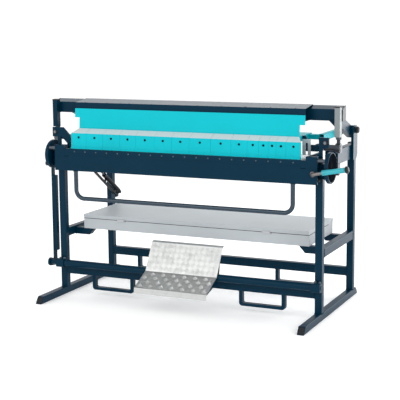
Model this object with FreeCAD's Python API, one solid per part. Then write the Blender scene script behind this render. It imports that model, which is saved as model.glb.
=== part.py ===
import FreeCAD, Part
import math
import os

# Box and pan folding brake on its own stand, in millimetres.
# While modelling, X runs left to right from the middle of the machine,
# Y runs back from the front face of the front posts, Z runs up from the floor.
# At the end every piece is moved so that the origin is the middle of the box
# that the whole machine fills, on the floor.

# Overall sizes
WORKING_LENGTH = 1400.0
TABLE_HEIGHT = 872.0
STAND_DEPTH = 606.0

# Square tube of the stand
POST = 40.0
TUBE_WALL = 3.0
TUBE_CORNER = 4.0
FOOT_FRONT_REACH = 254.0
FOOT_REAR_REACH = 32.0
FOOT_MITRE = 30.0
MID_TUBE_BOTTOM = 341.0
MID_TUBE_HEIGHT = 50.0
RAIL_BOTTOM = 122.0
RAIL_HEIGHT = 50.0

# Fork pockets under the rails
FORK_SPACING = 930.0
FORK_WIDTH = 270.0
FORK_DROP = 84.0
FORK_SIDE_BAR = 20.0
FORK_BOTTOM_BAR = 17.0
FORK_DEPTH = 30.0
FORK_CORNER = 18.0
FORK_INNER_CORNER = 9.0

# Tray for offcuts, with a lid hinged at the back
TRAY_SIDE_OVERHANG = 5.0
TRAY_FRONT = 98.0
TRAY_REAR_GAP = 46.0
TRAY_HEIGHT = 84.0
TRAY_SHEET = 2.0
LID_SHEET = 1.5
LID_SKIRT = 14.0
LID_GAP = 0.5
TRAY_ARM_REACH = 130.0
TRAY_ARM_INSET = 12.0
HINGE_SPACING = 900.0
HINGE_WIDTH = 70.0
HINGE_MIDDLE = 30.0
KNUCKLE_RADIUS = 5.0
HINGE_PIN_RADIUS = 2.5
LID_AXIS_BACK = 4.0
LID_AXIS_DROP = 2.0
LATCH_SPACING = 910.0
LATCH_WIDTH = 58.0
LATCH_HEIGHT = 14.0

# Bed that the sheet lies on
BED_OVERHANG = 30.0
BED_THICKNESS = 20.0
BED_DEPTH = 240.0
BED_FRONT = -40.0
BED_BEAM_FRONT = -30.0
BED_BEAM_REAR = 120.0
BED_BEAM_HEIGHT = 107.0
BED_BEAM_WALL = 6.0
BED_BEAM_CORNER = 9.0
BED_END_PLATE = 12.0
BED_TO_POST = 28.0
END_PLATE_RISE = 18.0
END_PLATE_FRONT = 2.0
END_ARM_START = 8.0
END_ARM_HEIGHT = 60.0
FRONT_SPACER_HEIGHT = 90.0
CHEEK_SPACER_HEIGHT = 82.0
REAR_SPACER_INSET = 10.0

# Side beams from the rear posts forward
SIDE_BEAM_FRONT = 232.0
SIDE_BEAM_HEIGHT = 80.0
SIDE_BEAM_RISE = 27.0
SIDE_BEAM_SHIFT = 10.0
FRONT_POST_DROP = 22.0

# Folding apron and its pivots
APRON_THICKNESS = 12.0
APRON_GAP = 1.0
APRON_DROP = 127.0
APRON_OVERHANG = 98.0
BLADE_OVERHANG = 5.0
BLADE_HEIGHT = 30.0
SHOULDER_DROP = 44.0
BLADE_SCREW_PITCH = 70.0
BLADE_SCREW_DEPTH = 14.0
BLADE_SCREW_RADIUS = 4.5
BLADE_SCREW_HEAD = 1.2
HINGE_BLOCK_INNER = 34.0
HINGE_BLOCK_OUTER = 97.0
HINGE_BLOCK_RISE = 20.0
HINGE_BLOCK_BACK = 31.0
HINGE_BLOCK_SWEEP = 40.0
HINGE_BLOCK_WEB = 10.0
APRON_PIN_RADIUS = 10.0
CHEEK_RADIUS = 84.0
CHEEK_THICKNESS = 20.0
CHEEK_GAP = 28.0
CHEEK_BACK = 57.0
CHEEK_DROP = 42.0
CHEEK_CHAMFER = 3.0
BUFFER_RADIUS = 12.0
BUFFER_GAP = 0.3
RUNNING = 0.05

# Knob on the left cheek
KNOB_BACK = 23.5
KNOB_DROP = 94.0
KNOB_RADIUS = 15.5
KNOB_LENGTH = 14.0
KNOB_STEM_RADIUS = 6.0
KNOB_STEM_LENGTH = 8.0
KNOB_CHAMFER = 2.0

# Hoop handle under the apron
HOOP_RADIUS = 12.5
HOOP_INSET = 38.0
HOOP_HANG = 159.0
HOOP_BEND = 50.0

# Side handle on the right of the apron
HANDLE_ROD_RADIUS = 9.5
HANDLE_STAND_OFF = 35.0
HANDLE_DROP = 70.0
HANDLE_FROM_POST = 5.0
HANDLE_BEND = 20.0
HANDLE_BOSS_RADIUS = 14.5
HANDLE_BOSS_LENGTH = 8.0
HANDLE_RISE_ANGLE = 12.0
HANDLE_START = 49.0
HANDLE_GRIP_RADIUS = 16.0
HANDLE_GRIP_LENGTH = 130.0
HANDLE_GRIP_CHAMFER = 3.0
HANDLE_CAP_LENGTH = 30.0
HANDLE_CAP_RADIUS = 19.0
HANDLE_CAP_CHAMFER = 4.0

# Segmented fingers, left to right
FINGER_WIDTHS = [100, 108, 108, 104, 116, 108, 108, 128, 120, 95, 65, 55, 45, 55, 85]
FINGER_SEAM = 0.6
FINGER_GAP = 1.0
FINGER_SETBACK = 2.0
FINGER_NOSE = 10.0
FINGER_HEIGHT = 90.0
FINGER_LEAN = 13.0
FINGER_LEDGE = 46.0
FINGER_LEDGE_RISE = 24.0
FINGER_HEEL = 11.0
FINGER_HEEL_RISE = 40.0
FINGER_SOLE = 30.0
FINGER_SCREW_RADIUS = 7.0
FINGER_SCREW_HEAD = 4.0
FINGER_SCREW_DROP = 24.0
LEDGE_TAPER = 28.0

# Clamping beam that carries the fingers
FINGER_BEAM_DEPTH = 208.0
FINGER_BEAM_THICKNESS = 30.0
FINGER_BEAM_LIP = 2.0
FINGER_BEAM_REAR_EDGE = 18.0
FINGER_BEAM_REAR_SLOPE = 40.0
FACE_PLATE_TOP = 228.0
FACE_PLATE_THICKNESS = 8.0
EAR_HEIGHT = 52.0
EAR_WIDTH = 30.0
TOP_BEAM_BOTTOM = 196.0
TOP_TUBE_DEPTH = 56.0
TOP_TUBE_HEIGHT = 61.0
TOP_TUBE_RISE = 18.0
TOP_TUBE_WALL = 4.0
TOP_TUBE_CAP = 4.0
COVER_OVERHANG = 2.0
COVER_FRONT = 36.0
COVER_HEIGHT = 66.0
COVER_SHEET = 3.0
COVER_SLACK = 0.1
GUSSET_SIZE = 38.0
GUSSET_THICKNESS = 12.0
GUSSET_OVERLAP = 8.0
DROP_BAR_INSET = 8.0
DROP_BAR_WIDTH = 30.0
DROP_BAR_DEPTH = 40.0
DROP_BAR_FRONT = 66.0
DROP_BAR_BOTTOM = 113.0
DROP_BAR_HEIGHT = 155.0
DROP_BAR_CAP = 6.0
DROP_BAR_CAP_CHAMFER = 2.0
ARM_WIDTH = 30.0
ARM_DEPTH = 64.0
CLAMP_ARM_END_RISE = 19.0748
CLAMP_ARM_INSET = 34.0
CLAMP_ARM_DROP = 17.0
LOWER_ARM_HEIGHT = 37.0
LOWER_ARM_BOTTOM = 79.0
LOWER_ARM_FRONT = 172.0
LOWER_ARM_FOOT = 40.0
END_LINK_FRONT = 70.0
END_LINK_THICKNESS = 12.0
END_LINK_SHOULDER = 18.0
END_LINK_NECK = 38.0
END_LINK_TOP = 68.0
END_LINK_BOTTOM = 33.0
LUG_HALF = 18.0

# Guide brackets that stand on the front posts and the bed's end plates
GUIDE_THICKNESS = 12.0
GUIDE_RISE = 117.0
GUIDE_HEAD_HEIGHT = 55.0
GUIDE_HEAD_INSET = 1.0
GUIDE_HEAD_REACH = 34.0
GUIDE_BAR_INSET = 17.0
GUIDE_BAR_WIDTH = 21.0
GUIDE_FOOT_MARGIN = 3.0
GUIDE_FOOT_HEIGHT = 8.0
GUIDE_BOLT_INSET = 19.0
GUIDE_BOLT_DROP = 27.0
GUIDE_WASHER_RADIUS = 14.0
GUIDE_WASHER = 3.0

# Pivot of the clamping beam
PIVOT_FROM_POST = 61.0
PIVOT_RISE = 110.0
PIVOT_PIN_RADIUS = 12.0
PIVOT_HUB_RADIUS = 25.0
BRACKET_THICKNESS = 15.0
BRACKET_WIDTH = 75.0
BRACKET_FRONT = 35.0
BRACKET_DROP = 4.0
BRACKET_LOWER_CORNER = (22.0, 26.0)
BRACKET_UPPER_CORNER = (14.0, 16.0)
PIVOT_PIN_HEAD = (17.0, 6.0)
PIVOT_HEAD_GAP = 2.0
PIVOT_CAP_RADIUS = 19.0
PIVOT_CAP_LENGTH = 23.0
PIVOT_CAP_CHAMFER = 3.0
POST_CAP_HEIGHT = 4.0
POST_CAP_CHAMFER = 1.5

# Linkage from the pedal to the clamping beam
CROSS_PIN_Y = 96.0
CROSS_PIN_RISE = 53.0
CROSS_PIN_RADIUS = 17.0
CROSS_JOURNAL_RADIUS = 9.0
THREAD_RADIUS = 9.0
ROD_EYE_RADIUS = 26.0
ROD_EYE_WIDTH = 26.0
ROD_NUT_RADIUS = 16.0
ROD_NUT_HEIGHT = 14.0
STOP_RADIUS = 6.0
STOP_BACK = 20.0
STOP_INSET = 8.0
STOP_GAP = 0.3
STOP_NUT_RADIUS = 10.0
STOP_NUT_HEIGHT = 10.0
ROCKER_Y = 252.0
ROCKER_DROP = 97.0
ROCKER_RADIUS = 20.0
ROCKER_JOURNAL_RADIUS = 15.0
BEARING_STUB_INSET = 10.0
INNER_CRANK = 155.0
INNER_CRANK_DIP = 14.0
INNER_CRANK_ENDS = (32.0, 17.0)
OUTER_CRANK = 204.0
OUTER_CRANK_DIP = 18.4
OUTER_CRANK_ENDS = (26.0, 15.0)
CRANK_THICKNESS = 10.0
CRANK_PIN_RADIUS = 10.0
CRANK_CLIP = 4.0
LINK_WIDTH = 32.0
LINK_THICKNESS = 22.0
LINK_SLACK = 0.6
LINK_GAP = 4.0
SIDE_GAP = 2.0
OUTER_PIN_RADIUS = 8.0
CLIP_THICKNESS = 3.0
CLIP_GAP = 1.0
PUSH_ROD_WIDTH = 24.0
PUSH_ROD_FOOT_EXTRA = 3.0
PUSH_ROD_THICKNESS = 10.0
PUSH_ROD_SLOT = 3.1
SLOT_SLACK = 0.4

# Pedal
PEDAL_Y = -25.0
PEDAL_HEIGHT = 190.0
PEDAL_SHAFT_RADIUS = 21.0
PEDAL_SHAFT_WALL = 4.0
PEDAL_AXLE_RADIUS = 12.5
PEDAL_AXLE_END = 8.0
PEDAL_CRANK = 75.0
PEDAL_CRANK_DIP = 18.4
PEDAL_CRANK_ENDS = (24.0, 14.0)
PEDAL_WIDTH = 440.0
PEDAL_SHEET = 4.0
PEDAL_RIB = 6.0
PEDAL_RIB_INSET = 9.0
PEDAL_TUBE_GAP = 7.0
STUB_DEPTH = 10.0
BEARING_WIDTH = 50.0
BEARING_HEIGHT = 48.0
BEARING_OVERLAP = 5.0
BEARING_CORNER = 10.0
BOLT_SPACING = 26.0
BOLT_RADIUS = 8.0
BOLT_HEAD = 6.0

# Gas strut that carries part of the beam's weight
STRUT_INSET = 41.0
STRUT_FOOT_DROP = 347.0
STRUT_LUG_BACK = 43.0
STRUT_LUG_DROP = 46.5
STRUT_RADIUS = 14.0
STRUT_ROD_RADIUS = 5.0
STRUT_PIN_RADIUS = 6.0
STRUT_EYE_RADIUS = 10.0
STRUT_EYE_WIDTH = 14.0
STRUT_ROD_SHOW = 120.0
STRUT_SLACK = 0.6
STRUT_WALL = 3.0
STRUT_NECK = 18.0
STRUT_PISTON_DEPTH = 45.0
STRUT_PISTON_LENGTH = 10.0
STRUT_PISTON_GAP = 0.5
STRUT_LUG_ENDS = (28.0, 12.0)
STRUT_PLATE = 8.0
STRUT_PLATE_FRONT = 28.0
STRUT_PLATE_REAR = 25.0
STRUT_PLATE_LIMITS = (-39.0, 17.0)
STRUT_BOSS_RADIUS = 14.0
STRUT_BOSS_GAP = 1.0
STRUT_PIN_END = 3.0

# Places worked out from the sizes above, right-hand side
HALF_LENGTH = WORKING_LENGTH / 2
BED_HALF = HALF_LENGTH + BED_OVERHANG
END_PLATE_OUTER = BED_HALF + BED_END_PLATE
POST_INNER = END_PLATE_OUTER + BED_TO_POST
POST_OUTER = POST_INNER + POST
CHEEK_INNER = POST_OUTER + CHEEK_GAP
CHEEK_OUTER = CHEEK_INNER + CHEEK_THICKNESS
SIDE_BEAM_INNER = POST_INNER + SIDE_BEAM_SHIFT
SIDE_BEAM_OUTER = SIDE_BEAM_INNER + POST
REAR_POST_FRONT = STAND_DEPTH - POST
SIDE_BEAM_TOP = TABLE_HEIGHT + SIDE_BEAM_RISE
SIDE_BEAM_BOTTOM = SIDE_BEAM_TOP - SIDE_BEAM_HEIGHT
FRONT_POST_TOP = TABLE_HEIGHT - FRONT_POST_DROP
MID_TUBE_TOP = MID_TUBE_BOTTOM + MID_TUBE_HEIGHT
RAIL_TOP = RAIL_BOTTOM + RAIL_HEIGHT
BED_BOTTOM = TABLE_HEIGHT - BED_THICKNESS
BED_REAR = BED_FRONT + BED_DEPTH
BEAM_BOTTOM = BED_BOTTOM - BED_BEAM_HEIGHT
AXIS_Y = BED_FRONT - APRON_GAP
AXIS_Z = TABLE_HEIGHT
APRON_FRONT = AXIS_Y - APRON_THICKNESS
APRON_HALF = HALF_LENGTH + APRON_OVERHANG
BLADE_HALF = HALF_LENGTH + BLADE_OVERHANG
APRON_BOTTOM = TABLE_HEIGHT - APRON_DROP
BLADE_BOTTOM = TABLE_HEIGHT - BLADE_HEIGHT
SHOULDER_TOP = TABLE_HEIGHT - SHOULDER_DROP
FINGER_TIP_Y = AXIS_Y + FINGER_SETBACK
FINGER_BOTTOM = TABLE_HEIGHT + FINGER_GAP
FINGER_TOP_Y = FINGER_TIP_Y + FINGER_LEAN
FINGER_TOP = TABLE_HEIGHT + FINGER_HEIGHT
LEDGE_BACK_Y = FINGER_TOP_Y + FINGER_LEDGE
LEDGE_BACK_Z = FINGER_TOP + FINGER_LEDGE_RISE
FINGER_BACK_Y = LEDGE_BACK_Y + FINGER_HEEL
FINGER_BEAM_BOTTOM = LEDGE_BACK_Z - FINGER_BEAM_THICKNESS + FINGER_BEAM_LIP
FINGER_BEAM_TOP = FINGER_BEAM_BOTTOM + FINGER_BEAM_THICKNESS
FINGER_BEAM_HALF = HALF_LENGTH - LEDGE_TAPER
COVER_HALF = HALF_LENGTH + COVER_OVERHANG
DROP_BAR_INNER = CHEEK_OUTER - DROP_BAR_INSET
DROP_BAR_OUTER = DROP_BAR_INNER + DROP_BAR_WIDTH
DROP_BAR_REAR = DROP_BAR_FRONT + DROP_BAR_DEPTH
DROP_BAR_Z = TABLE_HEIGHT + DROP_BAR_BOTTOM
DROP_BAR_TOP = DROP_BAR_Z + DROP_BAR_HEIGHT
DROP_BAR_X = DROP_BAR_INNER + DROP_BAR_WIDTH / 2
TOP_TUBE_REAR = DROP_BAR_REAR + TOP_TUBE_DEPTH
TOP_BEAM_Z = TABLE_HEIGHT + TOP_BEAM_BOTTOM
TOP_TUBE_SHOULDER = TOP_BEAM_Z + TOP_TUBE_HEIGHT
TOP_TUBE_TOP = TOP_TUBE_SHOULDER + TOP_TUBE_RISE
PIVOT_Y = REAR_POST_FRONT - PIVOT_FROM_POST
PIVOT_Z = TABLE_HEIGHT + PIVOT_RISE
BRACKET_OUTER = SIDE_BEAM_OUTER + BRACKET_THICKNESS
GUIDE_TOP = TABLE_HEIGHT + GUIDE_RISE
GUIDE_BAR_INNER = POST_INNER + GUIDE_BAR_INSET
GUIDE_BAR_OUTER = GUIDE_BAR_INNER + GUIDE_BAR_WIDTH
GUIDE_OUTER = GUIDE_BAR_OUTER + GUIDE_HEAD_REACH
CLAMP_ARM_INNER = SIDE_BEAM_OUTER - CLAMP_ARM_INSET
CLAMP_ARM_OUTER = CLAMP_ARM_INNER + ARM_WIDTH
LOWER_ARM_INNER = BED_HALF
LOWER_ARM_OUTER = LOWER_ARM_INNER + ARM_WIDTH
LOWER_ARM_Z = TABLE_HEIGHT + LOWER_ARM_BOTTOM
LOWER_ARM_TOP = LOWER_ARM_Z + LOWER_ARM_HEIGHT
CROSS_PIN_Z = TABLE_HEIGHT + CROSS_PIN_RISE
ROCKER_Z = TABLE_HEIGHT - ROCKER_DROP
LINK_INNER = LOWER_ARM_OUTER + LINK_GAP
LINK_OUTER = LINK_INNER + LINK_THICKNESS
CRANK_OUTER = LINK_INNER - SIDE_GAP
CRANK_INNER = CRANK_OUTER - CRANK_THICKNESS
INNER_PIN_Y = ROCKER_Y - math.sqrt(INNER_CRANK ** 2 - INNER_CRANK_DIP ** 2)
INNER_PIN_Z = ROCKER_Z - INNER_CRANK_DIP
OUTER_PIN_Y = ROCKER_Y - math.sqrt(OUTER_CRANK ** 2 - OUTER_CRANK_DIP ** 2)
OUTER_PIN_Z = ROCKER_Z - OUTER_CRANK_DIP
SIDE_CRANK_INNER = CHEEK_OUTER + SIDE_GAP
SIDE_CRANK_OUTER = SIDE_CRANK_INNER + CRANK_THICKNESS
PUSH_ROD_INNER = SIDE_CRANK_OUTER + SIDE_GAP
PUSH_ROD_OUTER = PUSH_ROD_INNER + PUSH_ROD_THICKNESS
SIDE_CLIP = (PUSH_ROD_OUTER + CLIP_GAP, PUSH_ROD_OUTER + CLIP_GAP + CLIP_THICKNESS)
PEDAL_PIN_Y = PEDAL_Y + math.sqrt(PEDAL_CRANK ** 2 - PEDAL_CRANK_DIP ** 2)
PEDAL_PIN_Z = PEDAL_HEIGHT - PEDAL_CRANK_DIP
STRUT_X = POST_INNER - STRUT_INSET
STRUT_FOOT_Y = REAR_POST_FRONT + POST / 2
STRUT_FOOT_Z = TABLE_HEIGHT - STRUT_FOOT_DROP
STRUT_OUTER = STRUT_X + STRUT_EYE_WIDTH / 2 + STRUT_BOSS_GAP
STRUT_PIN_INNER = STRUT_X - STRUT_EYE_WIDTH / 2 - STRUT_PIN_END
STRUT_LUG_Y = ROCKER_Y + STRUT_LUG_BACK
STRUT_LUG_Z = ROCKER_Z - STRUT_LUG_DROP
TRAY_HALF = HALF_LENGTH + TRAY_SIDE_OVERHANG
TRAY_REAR = REAR_POST_FRONT - TRAY_REAR_GAP
TRAY_BOTTOM = MID_TUBE_BOTTOM + POST
TRAY_TOP = TRAY_BOTTOM + TRAY_HEIGHT
BOX_INSET = LID_SHEET + LID_GAP
LID_BOTTOM = TRAY_TOP - LID_SKIRT
LID_AXIS_Y = TRAY_REAR + LID_AXIS_BACK
LID_AXIS_Z = LID_BOTTOM - LID_AXIS_DROP


def vector(x, y, z):
    return FreeCAD.Vector(x, y, z)


def block(x_limits, y_limits, z_limits):
    # Box between two limits on each axis
    low = vector(min(x_limits), min(y_limits), min(z_limits))
    high = vector(max(x_limits), max(y_limits), max(z_limits))
    return Part.makeBox(high.x - low.x, high.y - low.y, high.z - low.z, low)


def rod(radius, start, end):
    # Round bar from one point to another
    direction = end - start
    return Part.makeCylinder(radius, direction.Length, start, direction)


def rod_x(radius, x_limits, y, z):
    # Round bar along X
    return rod(radius, vector(x_limits[0], y, z), vector(x_limits[1], y, z))


def side_profile(points, x_limits):
    # Outline in Y and Z, given its width along X
    corners = [vector(x_limits[0], y, z) for y, z in points]
    face = Part.Face(Part.makePolygon(corners + corners[:1]))
    return face.extrude(vector(x_limits[1] - x_limits[0], 0, 0))


def front_profile(points, y_limits):
    # Outline in X and Z, given its depth along Y
    corners = [vector(x, y_limits[0], z) for x, z in points]
    face = Part.Face(Part.makePolygon(corners + corners[:1]))
    return face.extrude(vector(0, y_limits[1] - y_limits[0], 0))


def plan_profile(points, z_limits):
    # Outline in X and Y, given its height along Z
    corners = [vector(x, y, z_limits[0]) for x, y in points]
    face = Part.Face(Part.makePolygon(corners + corners[:1]))
    return face.extrude(vector(0, 0, z_limits[1] - z_limits[0]))


def mirrored(shape):
    # The same piece on the other side of the machine
    return shape.mirror(vector(0, 0, 0), vector(1, 0, 0))


def both_sides(shape):
    return [shape, mirrored(shape)]


def edges_along(shape, direction):
    # Straight edges that run along one of the axes
    found = []
    for edge in shape.Edges:
        if edge.Curve.TypeId != "Part::GeomLine":
            continue
        if abs(edge.tangentAt(edge.FirstParameter).dot(direction)) > 0.999:
            found.append(edge)
    return found


def square_tube(x_limits, y_limits, z_limits, direction, wall=TUBE_WALL, corner=TUBE_CORNER):
    # Hollow section with rounded outer corners, open at both ends
    outer = block(x_limits, y_limits, z_limits)
    outer = outer.makeFillet(corner, edges_along(outer, direction))
    spans = []
    for limits, component in zip((x_limits, y_limits, z_limits), (direction.x, direction.y, direction.z)):
        grow = 1.0 if component else -wall
        spans.append((min(limits) - grow, max(limits) + grow))
    return outer.cut(block(*spans))


def lever_plate(ends, radii, x_limits):
    # Flat lever: two round ends joined by their common tangents
    (y0, z0), (y1, z1) = ends
    r0, r1 = radii
    length = math.hypot(y1 - y0, z1 - z0)
    heading = math.atan2(z1 - z0, y1 - y0)
    spread = math.acos((r0 - r1) / length)
    outline = []
    for side in (1, -1):
        angle = heading + side * spread
        near = (y0 + r0 * math.cos(angle), z0 + r0 * math.sin(angle))
        far = (y1 + r1 * math.cos(angle), z1 + r1 * math.sin(angle))
        outline.extend([near, far] if side == 1 else [far, near])
    plate = side_profile(outline, x_limits)
    plate = plate.fuse(rod_x(r0, x_limits, y0, z0))
    plate = plate.fuse(rod_x(r1, x_limits, y1, z1))
    return plate.removeSplitter()


def sheet_profile(path, thickness):
    # Closed outline of a bent sheet: the path and its offset to the left
    offsets = []
    for index, point in enumerate(path):
        normals = []
        for a, b in ((index - 1, index), (index, index + 1)):
            if 0 <= a and b < len(path):
                run = (path[b][0] - path[a][0], path[b][1] - path[a][1])
                size = math.hypot(*run)
                normals.append((-run[1] / size, run[0] / size))
        mean = (sum(n[0] for n in normals), sum(n[1] for n in normals))
        scale = thickness * len(normals) / (mean[0] ** 2 + mean[1] ** 2)
        offsets.append((point[0] + mean[0] * scale, point[1] + mean[1] * scale))
    return list(path) + offsets[::-1]


# Stand

def foot():
    front = -FOOT_FRONT_REACH
    rear = STAND_DEPTH + FOOT_REAR_REACH
    outline = [(front - FOOT_MITRE, 0), (rear + FOOT_MITRE, 0), (rear, POST), (front, POST)]
    tube = side_profile(outline, (POST_INNER, POST_OUTER))
    tube = tube.makeFillet(TUBE_CORNER, edges_along(tube, vector(0, 1, 0)))
    hollow = block(
        (POST_INNER + TUBE_WALL, POST_OUTER - TUBE_WALL),
        (front - FOOT_MITRE - 1, rear + FOOT_MITRE + 1),
        (TUBE_WALL, POST - TUBE_WALL),
    )
    return tube.cut(hollow)


def front_post():
    return square_tube((POST_INNER, POST_OUTER), (0, POST), (POST, FRONT_POST_TOP), vector(0, 0, 1))


def rear_post():
    return square_tube(
        (POST_INNER, POST_OUTER), (REAR_POST_FRONT, STAND_DEPTH), (POST, SIDE_BEAM_TOP), vector(0, 0, 1)
    )


def mid_tubes():
    tube = square_tube(
        (POST_INNER, POST_OUTER), (POST, REAR_POST_FRONT), (MID_TUBE_BOTTOM, MID_TUBE_TOP), vector(0, 1, 0)
    )
    return both_sides(tube)


def rail(front):
    return square_tube(
        (-POST_INNER, POST_INNER), (front, front + POST), (RAIL_BOTTOM, RAIL_TOP), vector(1, 0, 0)
    )


def fork_pocket(centre, front):
    # One U of flat bar welded under a rail
    half = FORK_WIDTH / 2
    depth = (front, front + FORK_DEPTH)
    outer = block((centre - half, centre + half), depth, (RAIL_BOTTOM - FORK_DROP, RAIL_BOTTOM))
    lower = [e for e in edges_along(outer, vector(0, 1, 0)) if e.CenterOfMass.z < RAIL_BOTTOM - 1]
    outer = outer.makeFillet(FORK_CORNER, lower)
    opening = block(
        (centre - half + FORK_SIDE_BAR, centre + half - FORK_SIDE_BAR),
        (depth[0] - 1, depth[1] + 1),
        (RAIL_BOTTOM - FORK_DROP + FORK_BOTTOM_BAR, RAIL_BOTTOM + 1),
    )
    lower = [e for e in edges_along(opening, vector(0, 1, 0)) if e.CenterOfMass.z < RAIL_BOTTOM - 1]
    opening = opening.makeFillet(FORK_INNER_CORNER, lower)
    return outer.cut(opening)


def fork_pockets():
    inset = (POST - FORK_DEPTH) / 2
    pockets = []
    for front in (inset, REAR_POST_FRONT + inset):
        for side in (-1, 1):
            pockets.append(fork_pocket(side * FORK_SPACING / 2, front))
    return pockets


def tray_arms():
    # Short arms that point inward from the middle tubes, with bevelled ends
    tip = POST_INNER - TRAY_ARM_REACH
    outline = [
        (POST_INNER, MID_TUBE_BOTTOM),
        (POST_INNER, MID_TUBE_BOTTOM + POST),
        (tip, MID_TUBE_BOTTOM + POST),
        (tip + POST - TUBE_CORNER, MID_TUBE_BOTTOM),
    ]
    arms = []
    for front in (TRAY_FRONT + TRAY_ARM_INSET, TRAY_REAR - TRAY_ARM_INSET - POST):
        arm = front_profile(outline, (front, front + POST))
        hollow = block(
            (tip + POST, POST_INNER + 1),
            (front + TUBE_WALL, front + POST - TUBE_WALL),
            (MID_TUBE_BOTTOM + TUBE_WALL, MID_TUBE_BOTTOM + POST - TUBE_WALL),
        )
        arms.extend(both_sides(arm.cut(hollow)))
    return arms


# Tray

def tray_box():
    half = TRAY_HALF - BOX_INSET
    depth = (TRAY_FRONT + BOX_INSET, TRAY_REAR - BOX_INSET)
    outer = block((-half, half), depth, (TRAY_BOTTOM, TRAY_TOP - LID_SHEET - LID_GAP))
    inner = block(
        (-half + TRAY_SHEET, half - TRAY_SHEET),
        (depth[0] + TRAY_SHEET, depth[1] - TRAY_SHEET),
        (TRAY_BOTTOM + TRAY_SHEET, TRAY_TOP),
    )
    return outer.cut(inner)


def hinge_centres():
    return (-HINGE_SPACING / 2, HINGE_SPACING / 2)


def tray_lid():
    outer = block((-TRAY_HALF, TRAY_HALF), (TRAY_FRONT, TRAY_REAR), (LID_BOTTOM, TRAY_TOP))
    inner = block(
        (-TRAY_HALF + LID_SHEET, TRAY_HALF - LID_SHEET),
        (TRAY_FRONT + LID_SHEET, TRAY_REAR - LID_SHEET),
        (LID_BOTTOM - 1, TRAY_TOP - LID_SHEET),
    )
    lid = outer.cut(inner)
    for centre in hinge_centres():
        lid = hinged_at(lid, centre)
    return lid


def hinged_at(lid, centre):
    # Two knuckles and their pin on the lid's rear skirt, with a gap between them
    half_gap = HINGE_MIDDLE / 2 + LID_GAP
    half_width = HINGE_WIDTH / 2
    leaf_depth = (TRAY_REAR - LID_SHEET, LID_AXIS_Y - KNUCKLE_RADIUS + LID_SHEET)
    leaf_height = (LID_AXIS_Z, LID_AXIS_Z + KNUCKLE_RADIUS + LID_SHEET)
    pieces = [rod_x(HINGE_PIN_RADIUS, (centre - half_gap - 1, centre + half_gap + 1), LID_AXIS_Y, LID_AXIS_Z)]
    for inner_end, outer_end in ((-half_gap, -half_width), (half_gap, half_width)):
        span = (centre + inner_end, centre + outer_end)
        pieces.append(rod_x(KNUCKLE_RADIUS, span, LID_AXIS_Y, LID_AXIS_Z))
        pieces.append(block(span, leaf_depth, leaf_height))
    notch = block(
        (centre - half_gap, centre + half_gap),
        (TRAY_REAR - LID_SHEET - 1, LID_AXIS_Y - HINGE_PIN_RADIUS - LID_GAP),
        (LID_BOTTOM - 1, LID_AXIS_Z + KNUCKLE_RADIUS + LID_GAP),
    )
    return lid.cut(notch).fuse(pieces)


def tray_fittings():
    # Hinge leaves with their knuckles at the back, two catches at the front
    pieces = []
    box_rear = TRAY_REAR - BOX_INSET
    leaf_top = LID_AXIS_Z - KNUCKLE_RADIUS - LID_GAP
    for centre in hinge_centres():
        middle = (centre - HINGE_MIDDLE / 2, centre + HINGE_MIDDLE / 2)
        wide = (centre - HINGE_WIDTH / 2, centre + HINGE_WIDTH / 2)
        leaf = block(wide, (box_rear, box_rear + TRAY_SHEET), (leaf_top - HINGE_MIDDLE, leaf_top))
        web = block(middle, (box_rear, LID_AXIS_Y), (leaf_top - 1, LID_AXIS_Z))
        knuckle = rod_x(KNUCKLE_RADIUS, middle, LID_AXIS_Y, LID_AXIS_Z)
        bore = rod_x(HINGE_PIN_RADIUS + RUNNING, (middle[0] - 1, middle[1] + 1), LID_AXIS_Y, LID_AXIS_Z)
        pieces.append(leaf.fuse([web, knuckle]).cut(bore))
    for side in (-1, 1):
        centre = side * LATCH_SPACING / 2
        catch = block(
            (centre - LATCH_WIDTH / 2, centre + LATCH_WIDTH / 2),
            (TRAY_FRONT, TRAY_FRONT + BOX_INSET),
            (LID_BOTTOM - LID_GAP - LATCH_HEIGHT, LID_BOTTOM - LID_GAP),
        )
        pieces.append(catch)
    return pieces


# Bed and what carries it

def side_beams():
    tube = square_tube(
        (SIDE_BEAM_INNER, SIDE_BEAM_OUTER),
        (SIDE_BEAM_FRONT + TUBE_WALL, REAR_POST_FRONT),
        (SIDE_BEAM_BOTTOM, SIDE_BEAM_TOP),
        vector(0, 1, 0),
    )
    front_plate = block(
        (SIDE_BEAM_INNER, SIDE_BEAM_OUTER),
        (SIDE_BEAM_FRONT, SIDE_BEAM_FRONT + TUBE_WALL),
        (SIDE_BEAM_BOTTOM, SIDE_BEAM_TOP),
    )
    return both_sides(tube.fuse(front_plate))


def bed_table():
    return block((-BED_HALF, BED_HALF), (BED_FRONT, BED_REAR), (BED_BOTTOM, TABLE_HEIGHT))


def bed_beam():
    return square_tube(
        (-BED_HALF, BED_HALF),
        (BED_BEAM_FRONT, BED_BEAM_REAR),
        (BEAM_BOTTOM, BED_BOTTOM),
        vector(1, 0, 0),
        BED_BEAM_WALL,
        BED_BEAM_CORNER,
    )


def end_arm_depth():
    # Where the end plates meet the side beams, from front to back
    start = SIDE_BEAM_FRONT + END_ARM_START
    return start, start + POST


def bed_end_plates():
    # Plates on both ends of the bed, with an arm back to the side beam
    rear = end_arm_depth()[1]
    top = TABLE_HEIGHT + END_PLATE_RISE
    outline = [
        (END_PLATE_FRONT, BEAM_BOTTOM),
        (BED_REAR - POST, BEAM_BOTTOM),
        (BED_REAR, BEAM_BOTTOM + POST * 2),
        (rear, top - END_ARM_HEIGHT),
        (rear, top),
        (END_PLATE_FRONT, top),
    ]
    return both_sides(side_profile(outline, (BED_HALF, END_PLATE_OUTER)))


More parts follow.
